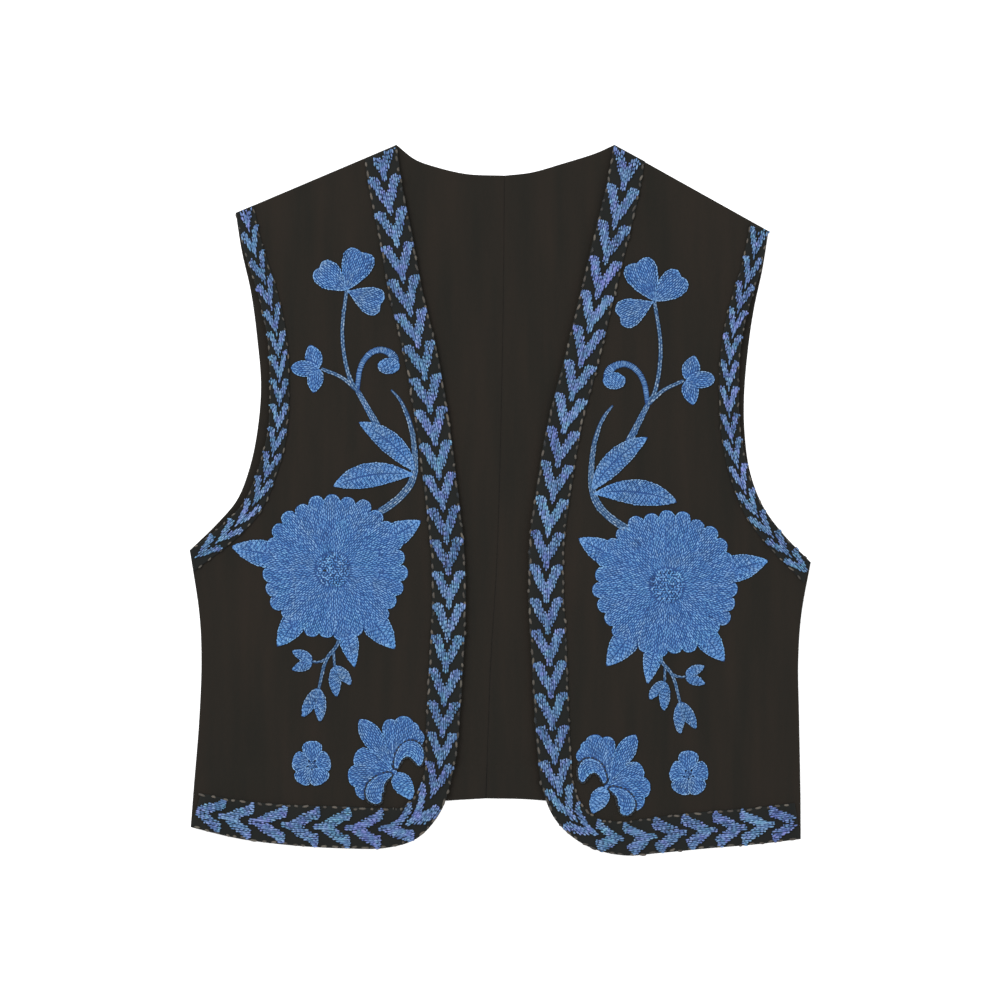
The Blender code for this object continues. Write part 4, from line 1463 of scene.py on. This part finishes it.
@dataclass
class StitchWork:
    """Stitches and padding gathered for one piece, on a ground that they follow.

    Forms are added from the uppermost down. A lower form's stitches stop where a higher one covers
    them. A stitch is a row of eight numbers: its start and end, its width, its height over the
    ground, its tone and its tint.
    """

    ground: Ground
    seed: int
    warp: Callable[[np.ndarray], np.ndarray] = lambda flat: flat
    clip: np.ndarray | None = None
    row_pitch: float = 1.5
    rim_room: float = 0.75
    least_room: float = 0.3
    merge_below: tuple[float, float] = (0.62, 0.31)
    merged_widths: tuple[float, float] = (0.9, 2.0)
    lean: float = 0.85
    cross_lean: float = 0.1
    cross_pitch: float = 0.7
    cross_length: float = 1.8
    stitch_length: float = 3.1
    unevenness: float = 0.14
    shortest_share: float = 0.35
    thread_share: float = 0.78
    thinnest: float = 0.55
    shortest: float = 0.9
    rim_inset: float = 0.4
    rim_length: float = 0.8
    rim_thread: float = 0.68
    rim_lift: float = 0.1
    pad_step: float = 2.5
    pad_columns: int = 7
    pad_share: float = 0.96
    pad_rim: float = 0.4
    pad_gap: float = 0.05
    edge_lift: float = 0.35
    waver: float = 0.13
    curl: float = 0.16
    relief: float = 0.5
    contrast: float = 0.13
    shade: float = 0.0
    tint: float = 0.0
    parts: MeshParts = field(default_factory=MeshParts)
    covers: list[np.ndarray] = field(default_factory=list)
    stitches: list[np.ndarray] = field(default_factory=list)

    def __post_init__(self) -> None:
        """Starts this piece's own random draws."""
        self.random = np.random.default_rng(self.seed)

    def add(
        self, form: Form, fill: Fill, lift: float = 0.0, crown: float = 0.6, shade: float = 0.0,
        tint: float = 0.0, rim: float | None = 0.16, parting: float = 0.0,
    ) -> None:
        """Adds the stitches and padding of one form.

        Args:
            form: Its shape.
            fill: How its rows run.
            lift: How far its edge is raised over others.
            crown: How much higher its middle stands than its edge.
            shade: How much lighter or darker its thread is.
            tint: How much warmer, or below nought cooler, its thread is.
            rim: How much paler the row of stitches round it is, or None for no such row.
            parting: How wide a strip round it stays free of other forms' stitches, laid as a dark line of
                painted shade.
        """
        outline = self.warp(outline_of(form))
        self._pad(form, lift, crown, self.tint + tint)
        laid = [] if rim is None else [self._rim(outline, lift, rim)]
        length = self.stitch_length * (self.cross_length if fill is Fill.ACROSS else 1.0)
        for number, (shares, across, width) in enumerate(self._fill_rows(form, fill, rim is not None)):
            line = np.column_stack([self.warp(form.at(shares, across)), shares, across, width])
            laid.append(self._row(self._cut(line, length, number % 2 / 2), lift, crown))
        self.lay(np.vstack(laid), shade, tint)
        if parting:
            self._part(outline, lift, parting)
        self.covers.append(inset(outline, -parting))

    def lay(self, stitches: np.ndarray, shade: float = 0.0, tint: float = 0.0) -> None:
        """Keeps the stitches that nothing laid before covers.

        Args:
            stitches: The stitches, as rows of eight numbers.
            shade: How much lighter their thread is.
            tint: How much warmer their thread is.
        """
        for cover in self.covers:
            stitches = stitches[~inside((stitches[:, :2] + stitches[:, 2:4]) / 2, cover)]
        stitches[:, 6:] += (self.shade + shade, self.tint + tint)
        self.stitches.append(stitches)

    def rows_of(
        self, start: np.ndarray, end: np.ndarray, width: np.ndarray | float, high: np.ndarray | float,
        tone: float,
    ) -> np.ndarray:
        """Stitches from start to end points, as rows of numbers."""
        columns = [np.broadcast_to(value, len(start)) for value in (width, high, tone, 0.0)]
        return np.column_stack([start, end, *columns])

    def _fill_rows(self, form: Form, fill: Fill, rimmed: bool) -> Iterable[tuple]:
        """The rows that fill a form, as shares along, shares across and a stitch width.

        Args:
            form: The form.
            fill: How its rows run.
            rimmed: Whether a row of stitches runs round it.

        Returns:
            The rows.
        """
        widest = float(form.half(np.linspace(0, 1, 30)).max())
        rim = self.rim_room * self.row_pitch if rimmed else 0.0
        room = max(self.least_room, 1 - rim / widest)
        if fill is Fill.ALONG:
            return self._rows_along(form, widest, room, rim)
        return self._rows_across(form, fill, widest, room)

    def _rows_along(self, form: Form, widest: float, room: float, rim: float) -> Iterable[tuple]:
        """Rows from root to tip. Where the form narrows, two or four of them become one.

        Args:
            form: The form.
            widest: Half of its greatest width.
            room: The share of its width that the rows take up.
            rim: The room left for the row round it.
        """
        count = max(1, round(2 * widest * room / self.row_pitch))
        shares = np.linspace(0.01, 1 - 0.6 * rim / form.reach, 40)
        spacing = 2 * form.half(shares) * room / count
        wide_enough = [spacing > share * self.row_pitch for share in self.merge_below]
        merged = np.select(wide_enough, [1, 2], 4)
        for k in range(count):
            kept = (k % merged) == merged // 2
            v = ((k + 0.5) / count * 2 - 1) * room
            widths = np.where(kept, np.clip(spacing * merged, *self.merged_widths), 0.0)
            yield shares, np.full(len(shares), v), widths

    def _rows_across(self, form: Form, fill: Fill, widest: float, room: float) -> Iterable[tuple]:
        """Rows from side to side, that lean towards the tip or meet on the spine.

        Args:
            form: The form.
            fill: How its rows run.
            widest: Half of its greatest width.
            room: The share of its width that the rows take up.
        """
        straight = fill is Fill.ACROSS
        pitch = (self.cross_pitch if straight else 1.0) * self.row_pitch
        lean = self.cross_lean if straight else self.lean
        step = pitch / form.reach
        for v in self._row_shares(fill, room):
            for start in np.arange(-2 * lean * widest / form.reach, 1.0, step):
                shares = start + lean * np.abs(v - v[0]) * widest / form.reach
                within = (shares > 0.015) & (shares < 0.985)
                if within.sum() > 2:
                    yield shares[within], v[within], np.full(within.sum(), pitch)

    @staticmethod
    def _row_shares(fill: Fill, room: float) -> list[np.ndarray]:
        """The shares across that each sweep of leaning rows runs through.

        Args:
            fill: How the rows run.
            room: The share of the width that they take up.

        Returns:
            The shares across, for each sweep.
        """
        if fill is Fill.HERRINGBONE:
            return [way * np.linspace(0.05, room, 14) for way in (1, -1)]
        return [np.linspace(-room, room, 20)]

    def _height(self, shares: np.ndarray, across: np.ndarray, lift: float, crown: float) -> np.ndarray:
        """How high a form's padding stands over the ground."""
        ends = np.clip(4 * shares * (1 - shares), 0, 1) ** 0.4
        return self.edge_lift + lift + crown * (1 - across**2) * ends

    def _cut(self, line: np.ndarray, length: float, offset: float) -> np.ndarray:
        """The points of a line where its stitches end, unevenly spaced about this length.

        Args:
            line: The line's points, with any further columns.
            length: About how long a stitch is.
            offset: How much later the first stitch ends, in stitches.

        Returns:
            The points, with the same columns.
        """
        along = lengths_along(line)
        cuts = (np.arange(0, along[-1] / length + 1) + offset) * length
        cuts += self.random.uniform(-self.unevenness, self.unevenness, len(cuts)) * length
        least = self.shortest_share * length
        cuts = cuts[(cuts > least) & (cuts < along[-1] - least)]
        cuts = np.concatenate([[0.0], cuts, along[-1:]])
        return np.column_stack([np.interp(cuts, along, column) for column in line.T])

    def _row(self, ends: np.ndarray, lift: float, crown: float) -> np.ndarray:
        """One row of stitches between these ends, less those that would be too small.

        Args:
            ends: Where the stitches end, with the shares along and across and the width there.
            lift: How far the form's edge is raised.
            crown: How much higher its middle stands.

        Returns:
            The stitches.
        """
        middle = (ends[:-1] + ends[1:]) / 2
        high = self._height(middle[:, 2], middle[:, 3], lift, crown)
        widths = middle[:, 4] * self.thread_share
        found = self.rows_of(ends[:-1, :2], ends[1:, :2], widths, high, 0.5)
        size = np.linalg.norm(np.diff(ends[:, :2], axis=0), axis=1)
        return found[(middle[:, 4] > self.thinnest) & (size > self.shortest)]

    def row_along(self, points: np.ndarray, width: float, number: int) -> np.ndarray:
        """A row of stitches along these points, of which every other row starts later."""
        line = np.column_stack([points, np.tile((0.5, 0.0, width), (len(points), 1))])
        return self._row(self._cut(line, self.stitch_length, number % 2 / 2), 0.1, 0.5)

    def _rim(self, outline: np.ndarray, lift: float, paler: float) -> np.ndarray:
        """A row of paler stitches just inside an outline.

        Args:
            outline: The outline.
            lift: How far the form's edge is raised.
            paler: How much paler the row is.

        Returns:
            The stitches.
        """
        ring = inset(outline, self.rim_inset * self.row_pitch)
        ends = self._cut(np.vstack([ring, ring[:1]]), self.stitch_length * self.rim_length, 0.0)
        high = self.edge_lift + lift + self.rim_lift
        return self.rows_of(ends[:-1], ends[1:], self.rim_thread * self.row_pitch, high, 0.5 + paler)

    def _part(self, outline: np.ndarray, lift: float, width: float) -> None:
        """Lays a dark line of painted shade round a form, where it lifts off those beneath.

        Args:
            outline: The form's outline.
            lift: How far its edge is raised.
            width: The line's width.
        """
        ring = inset(outline, -0.5 * width)
        ends = self._cut(np.vstack([ring, ring[:1]]), self.stitch_length, 0.0)
        self.lay(self.rows_of(ends[:-1], ends[1:], width, self.edge_lift + lift, PARTING_TONE))

    def _pad(self, form: Form, lift: float, crown: float, tint: float) -> None:
        """Adds the closed padding under a form's stitches, dark with painted shade.

        Args:
            form: The form.
            lift: How far its edge is raised.
            crown: How much higher its middle stands.
            tint: How much warmer its thread is.
        """
        along = max(6, round(form.reach / self.pad_step))
        shares = (1 - np.cos(np.linspace(0.06, 0.98 * math.pi, along))) / 2
        across = np.linspace(-1, 1, self.pad_columns)
        s, v = (g.ravel() for g in np.meshgrid(shares, across, indexing="ij"))
        flat = self.warp(form.at(s, v * self.pad_share))
        base = self.ground(flat)
        top = base + self._height(s, v, lift, crown) * np.where(np.abs(v) > 0.99, self.pad_rim, 1.0)
        pad = shell(flat, grid_triangles(along, self.pad_columns), base + self.pad_gap, top)
        # The padding takes the pad tone: painted shade that shows between the stitches.
        self.parts.add(pad.points[0], pad.triangles[0], PAD_TONE, tint)

    def knots(self, radius: float, size: float, lift: float, shade: float) -> None:
        """Fills a disc round the frame's middle with small uneven knots.

        Args:
            radius: The disc's radius.
            size: A knot's width.
            lift: How far the knots are raised.
            shade: How much lighter or darker they are.
        """
        disc = Blade(-radius, 0.0, 0.0, 2 * radius, 2 * radius, 0.5, 0.5)
        self._pad(disc, lift - 0.3, 0.4, self.tint)
        spots = hex_points(np.full(2, -radius), np.full(2, radius), size)
        spots = spots[np.hypot(*spots.T) < radius - size * 0.4]
        high = self.edge_lift + lift + 0.4 * (1 - (np.hypot(*spots.T) / radius) ** 2)
        spots = spots + self.random.uniform(-0.22, 0.22, spots.shape) * size
        turn = self.random.uniform(0, math.pi, len(spots))
        half = 0.62 * size * np.column_stack([np.cos(turn), np.sin(turn)])
        found = self.rows_of(self.warp(spots - half), self.warp(spots + half), size * 0.7, high, 0.5)
        found[:, 6] += self.random.normal(0, 0.14, len(found))
        self.lay(found, shade)
        self.covers.append(inset(self.warp(outline_of(disc)), 0.5 * size))

    def make(self, name: str, material: bpy.types.Material) -> bpy.types.Object:
        """The piece, with every stitch laid so far on its padding.

        Args:
            name: The piece's name.
            material: Its material.

        Returns:
            The piece.
        """
        stitches = np.vstack(self.stitches)
        if self.clip is not None:
            stitches = stitches[inside(stitches[:, :2], self.clip) & inside(stitches[:, 2:4], self.clip)]
        self._strands(stitches)
        return self.parts.make(name, material)

    def _strands(self, stitches: np.ndarray) -> None:
        """Adds a strand of thread for each stitch, which bulges up between its sunk ends.

        Args:
            stitches: The stitches, as rows of eight numbers.
        """
        count = len(stitches)
        start = stitches[:, :2] + self.random.normal(0, self.waver, (count, 2))
        along = stitches[:, 2:4] + self.random.normal(0, self.waver, (count, 2)) - start
        width, high, tone, tint = stitches[:, 4:].T
        out = np.column_stack([-along[:, 1], along[:, 0]]) / np.linalg.norm(along, axis=1)[:, None]
        middle = start + along / 2
        base = self.ground(middle)
        slope = np.column_stack([self.ground(middle + step) - base for step in ((1.0, 0.0), (0.0, 1.0))])
        u, side, up, change = strand_points()
        bend = self.random.normal(0, self.curl, (count, 1)) * 4 * u * (1 - u)
        across = side * width[:, None] + bend
        flat = start[:, None] + u[:, None] * along[:, None] + across[..., None] * out[:, None]
        tall = self.relief * width * self.random.uniform(0.8, 1.2, count)
        z = (base + high)[:, None] + ((flat - middle[:, None]) * slope[:, None]).sum(2) + up * tall[:, None]
        # Each point's tone takes the strand's painted shade at its foot and painted highlight on its crest.
        tones = (tone + self.random.normal(0, self.contrast, count))[:, None] + change
        triangles = tube_triangles(len(STRAND), len(SECTION))
        triangles = triangles + (np.arange(count) * len(u))[:, None, None]
        points = np.dstack([flat, z]).reshape(-1, 3)
        self.parts.add(points, triangles.reshape(-1, 3), tones.ravel(), np.repeat(tint, len(u)))


@dataclass
class Motif:
    """One embroidered motif on one front."""

    side: Side
    name: str
    place: dict
    seed: int
    petal_uneven: float = 1.2
    petal_shade: float = 0.03

    def warp(self, flat: np.ndarray) -> np.ndarray:
        """Points of the motif's own frame, moved to its place on the front.

        Args:
            flat: The points, as (n, 2).

        Returns:
            The moved points.
        """
        flat = flat * np.array([self.side.hand.mirror, 1.0])
        if self.side.hand is Hand.LEFT:
            turn = -math.radians(self.place["left_turn"])
            cos, sin = math.cos(turn), math.sin(turn)
            flat = self.place["left_size"] * flat @ np.array([[cos, sin], [-sin, cos]])
        name = self.side.hand.value
        return flat + np.array([self.place[name + "_x"], self.place[name + "_y"]])

    def build(self) -> bpy.types.Object:
        """The motif, stitched on its front.

        Returns:
            The motif.
        """
        work = StitchWork(
            self.side.ground, self.seed, self.warp, shade=self.place["shade"], tint=self.place["tint"]
        )
        if self.name == "flower":
            self._flower(work)
        elif self.name == "rosette":
            self._rosette(work)
        else:
            self._leaves(work)
        node = f"{self.name}_{self.side.hand.value}"
        piece = work.make("stitched_" + node, FLOWER_YARN.material())
        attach(piece, "root")
        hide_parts(node)
        return piece

    def _leaves(self, work: StitchWork) -> None:
        """Stitches the curls and the blades, then the stems under them.

        Args:
            work: The stitches that they are added to.
        """
        for points in CURLS.get(self.name, ()):
            work.add(Band(points), Fill.ALONG, 0.5, shade=0.06, parting=CURL_PARTING)
        for row in rows(BLADE_COLUMNS, BLADES[self.name]):
            fill, lift, shade = Fill(row.pop("fill")), row.pop("lift"), row.pop("shade")
            work.add(Blade(**row), fill, lift, shade=shade)
        for fill, tint, points in STEMS.get(self.name, ()):
            work.add(Band(points), Fill(fill), crown=0.4, tint=tint, rim=None)

    def _flower(self, work: StitchWork) -> None:
        """Stitches the big flower from its knotted centre out to its sepals.

        Args:
            work: The stitches that it is added to.
        """
        work.knots(radius=13.5, size=2.1, lift=0.9, shade=-0.05)
        for ring in rows(RING_COLUMNS, RINGS):
            self._ring(work, **ring)
        self._spokes(work, SEPALS, SEPAL_ROOT, SEPAL_POWERS, Fill.HERRINGBONE)

    def _rosette(self, work: StitchWork) -> None:
        """Stitches the small rosette."""
        work.knots(radius=3.4, size=1.5, lift=0.6, shade=-0.2)
        self._spokes(work, ROSETTE, ROSETTE_ROOT, ROSETTE_POWERS, Fill.ALONG, lift=0.1, crown=0.5)

    def _spokes(
        self, work: StitchWork, table: Table, root: float, powers: tuple[float, float], fill: Fill,
        **heights: float,
    ) -> None:
        """Stitches the blades of a table round the middle, with the lift and crown given.

        Args:
            work: The stitches that they are added to.
            table: The blades, in the sepals' columns.
            root: How far out their roots are.
            powers: How slim or round their roots and tips are.
            fill: How their rows run.
            heights: Their lift and crown.
        """
        for row in rows(SEPAL_COLUMNS, table):
            blade = spoke(row["direction"], root, row["reach"] - root, row["width"], powers)
            work.add(blade, fill, **heights)

    def _ring(
        self, work: StitchWork, root: float, reach: float, petals: int, width: float, turn: float,
        lift: float, rim: float | None,
    ) -> None:
        """Stitches a ring of petals, each a little under the last.

        Args:
            work: The stitches that they are added to.
            root: How far out their roots are.
            reach: How far out their tips are.
            petals: How many there are.
            width: Their width.
            turn: How far the ring is turned, in degrees.
            lift: How far their edges are raised.
            rim: How much paler the rims are, or None for no rims.
        """
        for petal in range(petals):
            degrees = turn + (petal + 0.5) * 360 / petals
            way = np.array([math.cos(math.radians(degrees)), math.sin(math.radians(degrees))])
            longer = self.petal_uneven * math.sin(2.3 * (petal + 0.5) + turn) + way @ RING_LEAN * reach
            blade = spoke(degrees, root, reach - root + longer, width, RING_POWERS)
            shade = self.petal_shade * math.sin(3.7 * petal)
            work.add(blade, Fill.ALONG, lift, 0.45, shade, rim=rim)


@dataclass
class Braid:
    """A strip of braid along a curve, with stitched chevrons that point along it."""

    side: Side
    name: str
    node: str
    curve: np.ndarray
    widths: np.ndarray
    slants: dict
    places: Sequence[float]
    leans: dict
    inward: float
    seed: int
    wall: float = 1.25
    gap: float = 0.12
    step: float = 2.0
    under_drop: float = 0.6
    thread: float = 1.5
    row_width: float = 1.3
    row_stations: int = 8
    chevron_reach: float = 0.46
    chevron_lift: float = 0.1
    chevron_waver: float = 0.6
    shade_spread: float = 0.04
    tint_spread: float = 0.2
    # The dark flat strand under each chevron row, painted shade between its stitches: its width, lift and
    # tone over the padding's.
    under_width: float = 1.25
    under_lift: float = 0.25
    under_shade_tone: float = 0.06
    dash_lines: tuple[float, float] = (0.035, 0.965)
    dash_start: float = 2.0
    dash_pitch: float = 7.7
    dash_length: float = 5.0
    dash_width: float = 2.0
    dash_waver: float = 1.2
    dash_shares: tuple[float, float] = (0.65, 1.2)
    dash_sink: float = 0.05

    def __post_init__(self) -> None:
        """Works out the lengths and normals of the curve."""
        self.along = lengths_along(self.curve)
        self.normals = normals_of(self.curve) * self.inward
        self.length = float(self.along[-1])

    def at(self, lengths: np.ndarray, across: np.ndarray) -> np.ndarray:
        """The points this far along the outer side and this share of the width in from it.

        Args:
            lengths: The lengths along the outer side.
            across: The shares of the width.

        Returns:
            The points, as (n, 2).
        """
        on = np.clip(lengths, 0, self.length)
        x, y = (np.interp(on, self.along, column) for column in self.curve[:, :2].T)
        width = np.interp(on, self.along, self.widths)
        normal = np.column_stack([np.interp(on, self.along, column) for column in self.normals.T])
        normal /= np.linalg.norm(normal, axis=1)[:, None]
        points = np.column_stack([x, y]) + normal * (width * across)[:, None]
        for past, tip, back in ((lengths - on, -1, -2), (on - lengths, 0, 1)):
            way = (self.curve[tip] - self.curve[back])[:2]
            points = points + np.maximum(past, 0)[:, None] * way / np.linalg.norm(way)
        return points

    def ends(self, across: np.ndarray | float) -> tuple:
        """Where the strip starts and ends, at this share of its width."""
        return self.slants["start"] * across, self.length + self.slants["end"] * across

    def build(self) -> bpy.types.Object:
        """The strip of braid.

        Returns:
            The strip.
        """
        run = np.linspace(*BRAID_RUN, round(self.length / self.step))
        shares = np.concatenate([BRAID_START, run, BRAID_END])
        s, v = np.meshgrid(shares, BRAID_COLUMNS, indexing="ij")
        first, last = self.ends(v)
        flat = self.at((first + s * (last - first)).ravel(), v.ravel())
        base = self.side.ground(flat) + self.gap
        drops = np.maximum.outer(edge_drops(len(shares)), edge_drops(len(BRAID_COLUMNS)))
        dropped = drops.ravel() * self.wall
        triangles = grid_triangles(len(shares), len(BRAID_COLUMNS))
        top = base + self.wall - dropped
        parts = shell(flat, triangles, base + dropped * self.under_drop, top)
        strip = parts.make(self.name, BRAID_CLOTH.material())
        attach(strip, "root")
        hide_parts(self.node)
        return strip

    def declare(self, strip: bpy.types.Object, sewn_on_it: list[bpy.types.Object]) -> None:
        """Args:
            strip: The strip, not used.
            sewn_on_it: The pieces that are stitched on it, not used.
        """
        area = float(((self.widths[1:] + self.widths[:-1]) / 2) @ np.diff(self.along)) * MM * MM

    def outline(self, spacing: float = 4.0) -> np.ndarray:
        """The strip's closed outline.

        Args:
            spacing: About how far apart its points are.

        Returns:
            The outline's points.
        """
        sides = []
        for across in (0.0, 1.0):
            lengths = np.linspace(*self.ends(across), round(self.length / spacing))
            sides.append(self.at(lengths, np.full(len(lengths), across)))
        return np.vstack([sides[0], sides[1][::-1]])

    def chevrons(self) -> bpy.types.Object:
        """The stitched chevrons of the strip.

        Returns:
            The piece.
        """
        work = StitchWork(self.side.ground, self.seed, clip=self.outline(), stitch_length=3.4, waver=0.2)
        work.edge_lift = self.wall + self.gap + self.chevron_lift
        for place, pitch in zip(self.places, np.gradient(self.places), strict=True):
            self._chevron(work, place, *self.leans.get(place, (pitch, 0.0, 0.0)))
        return self._sewn_on(work, "chevrons_", BRAID_YARN)

    def _chevron(
        self, work: StitchWork, place: float, pitch: float, outer: float, inner: float
    ) -> None:
        """Stitches one chevron in rows that run along the braid, each over a dark flat strand of painted
        shade that shows between its stitches.

        Args:
            work: The stitches that it is added to.
            place: Where its arms meet, as a length along the braid.
            pitch: The length of braid that it is drawn for.
            outer: How far its outer arm is drawn forward, as a share of the way out.
            inner: The same for its inner arm.
        """
        out, back, front = np.array(CHEVRON_HALF).T
        width = float(np.interp(place, self.along, self.widths))
        half = round(self.chevron_reach * width / self.thread)
        laid, under = [], []
        for number in range(-half, half + 1):
            across = number * self.thread
            drawn = abs(across) * CHEVRON_BRAID / width
            ends = np.array([np.interp(drawn, out, back), np.interp(drawn, out, front)])
            wavers = work.random.uniform(-self.chevron_waver, self.chevron_waver, 2)
            ends = ends * pitch / CHEVRON_PITCH + wavers
            forward = (inner if across > 0 else outer) * abs(across)
            on = place + forward + np.linspace(*ends, self.row_stations)
            points = self.at(on, 0.5 + across / np.interp(on, self.along, self.widths))
            under.append((*points[0], *points[-1]))
            laid.append(work.row_along(points, self.row_width * self.thread, number))
        # Under each row, a dark flat strand: painted shade between the chevron's stitches.
        starts, stops = np.hsplit(np.array(under), 2)
        high, tone = work.edge_lift + self.under_lift, PAD_TONE + self.under_shade_tone
        laid.append(work.rows_of(starts, stops, self.under_width * self.thread, high, tone))
        shade = work.random.normal(0, self.shade_spread)
        work.lay(np.vstack(laid), shade, work.random.normal(0, self.tint_spread))

    def dashes(self) -> bpy.types.Object:
        """The running stitches along both edges of the strip.

        Returns:
            The piece.
        """
        work = StitchWork(self.side.ground, self.seed + 1, waver=0.45, relief=0.3, contrast=0.25)
        high = self.gap + self.wall - self.dash_sink
        for across in self.dash_lines:
            first, last = self.ends(across)
            starts = np.arange(first + self.dash_start, last - self.dash_length, self.dash_pitch)
            starts = starts + work.random.uniform(-self.dash_waver, self.dash_waver, len(starts))
            share = np.full(len(starts), across)
            lengths = self.dash_length * work.random.uniform(*self.dash_shares, len(starts))
            ends = self.at(starts + lengths, share)
            work.lay(work.rows_of(self.at(starts, share), ends, self.dash_width, high, 0.5))
        return self._sewn_on(work, "dashes_", DASH_YARN)

    def _sewn_on(self, work: StitchWork, kind: str, yarn: Yarn) -> bpy.types.Object:
        """The piece that some stitches on the strip make.

        Args:
            work: The stitches.
            kind: What the piece's name starts with.
            yarn: The thread.

        Returns:
            The piece.
        """
        piece = work.make(kind + self.node, yarn.material())
        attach(piece, "root")
        return piece


@dataclass
class Studio:
    """A pale floor, soft lights and a camera that looks straight down at the vest."""

    frame_width: float = 0.770
    height: float = 3.0
    look_x: float = -0.0002
    look_y: float = 0.0001
    cloth_height: float = 0.004
    sensor: float = 36.0
    far_clip: float = 20.0
    floor_reach: float = 6.0
    floor_drop: float = 0.0002
    surround: float = 0.85

    def camera(self) -> None:
        """Adds the camera."""
        data = bpy.data.cameras.new("camera")
        data.sensor_width = self.sensor
        data.lens = self.sensor * (self.height - self.cloth_height) / self.frame_width
        data.clip_end = self.far_clip
        camera = bpy.data.objects.new("camera", data)
        camera.location = (self.look_x, self.look_y, self.height)
        bpy.context.scene.collection.objects.link(camera)
        bpy.context.scene.camera = camera
        bpy.context.scene.view_settings.view_transform = "Standard"

    def floor(self) -> None:
        """Adds the floor."""
        mesh = bpy.data.meshes.new("studio_floor")
        half = self.floor_reach
        corners = [(-half, -half, 0.0), (half, -half, 0.0), (half, half, 0.0), (-half, half, 0.0)]
        mesh.from_pydata(corners, [], [(0, 1, 2, 3)])
        mesh.materials.append(Floor().material())
        floor = bpy.data.objects.new("studio_floor", mesh)
        floor.location.z = -self.floor_drop
        bpy.context.scene.collection.objects.link(floor)

    def lights(self) -> None:
        """Adds a soft key from the upper left, a fill, and an even pale surround."""
        for name, place, size, power in (
            ("key", (-1.3, 1.5, 2.2), 1.6, 60.0),
            ("fill", (1.6, -0.6, 2.0), 2.0, 22.0),
        ):
            data = bpy.data.lights.new(name, "AREA")
            data.energy = power
            data.size = size
            light = bpy.data.objects.new(name, data)
            light.location = place
            light.rotation_euler = Vector(place).to_track_quat("Z", "Y").to_euler()
            bpy.context.scene.collection.objects.link(light)
        world = bpy.data.worlds.new("surround")
        world.use_nodes = True
        background = world.node_tree.nodes["Background"]
        background.inputs["Color"].default_value = (1.0, 1.0, 1.0, 1.0)
        background.inputs["Strength"].default_value = self.surround
        bpy.context.scene.world = world


@dataclass
class VestHalf:
    """One half of the vest: its back, its front, and what is sewn on the front."""

    hand: Hand
    armhole_width: float = 15.0
    front_draw: int = 16
    armhole_draw: int = 26

    def build(self) -> None:
        """Builds and dresses every piece of this half."""
        side = Side(self.hand)
        seed = FIRST_SEEDS[self.hand.value]
        back = BackPanel(side)
        back_piece = back.build()
        back.declare(back_piece)
        report(back_piece)
        front = FrontPanel(side)
        front_piece = front.build()
        report(front_piece)
        motifs = []
        for number, row in enumerate(rows(PLACE_COLUMNS, PLACES), 1):
            motifs.append(Motif(side, row["motif"], row, seed + number).build())
            report(motifs[-1])
        front.declare(front_piece, motifs)
        for braid in self._braids(side, seed):
            strip = braid.build()
            sewn = [braid.chevrons(), braid.dashes()]
            braid.declare(strip, sewn)
            for piece in (strip, *sewn):
                report(piece)

    def _braids(self, side: Side, seed: int) -> tuple[Braid, Braid]:
        """The braid of the front edge and that of the armhole.

        Args:
            side: The curves of this half.
            seed: Where its random draws start.

        Returns:
            The front braid and the armhole braid.
        """
        name = self.hand.value
        edge = side.front_edge
        front = Braid(
            side, "edge_braid_" + name, "front_braid_" + name, edge, edge[:, 2], BRAID_SLANTS["front"],
            FRONT_PLACES[name], FRONT_LEANS[name], self.hand.mirror, seed + self.front_draw,
        )
        widths = np.full(len(side.armhole), self.armhole_width)
        armhole = Braid(
            side, "arm_braid_" + name, "armhole_braid_" + name, side.armhole, widths,
            BRAID_SLANTS["armhole"], ARMHOLE_PLACES[name], ARMHOLE_LEANS[name], -self.hand.mirror,
            seed + self.armhole_draw, thread=1.25, dash_pitch=9.5, dash_length=3.8, dash_width=1.4,
        )
        return front, armhole


def report(piece: bpy.types.Object) -> None:
    """Logs a piece with its number of triangles."""
    LOG.info("%s: %d triangles", piece.name, len(piece.data.polygons))


def main() -> None:
    """Builds the studio and both halves of the vest, and writes how large the result is."""
    logging.basicConfig(level=logging.INFO, format="%(message)s", stream=sys.stdout)
    for obj in list(bpy.data.objects):
        bpy.data.objects.remove(obj)
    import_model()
    studio = Studio()
    studio.camera()
    studio.floor()
    studio.lights()
    for hand in Hand:
        VestHalf(hand).build()


if __name__ == "__main__":
    main()
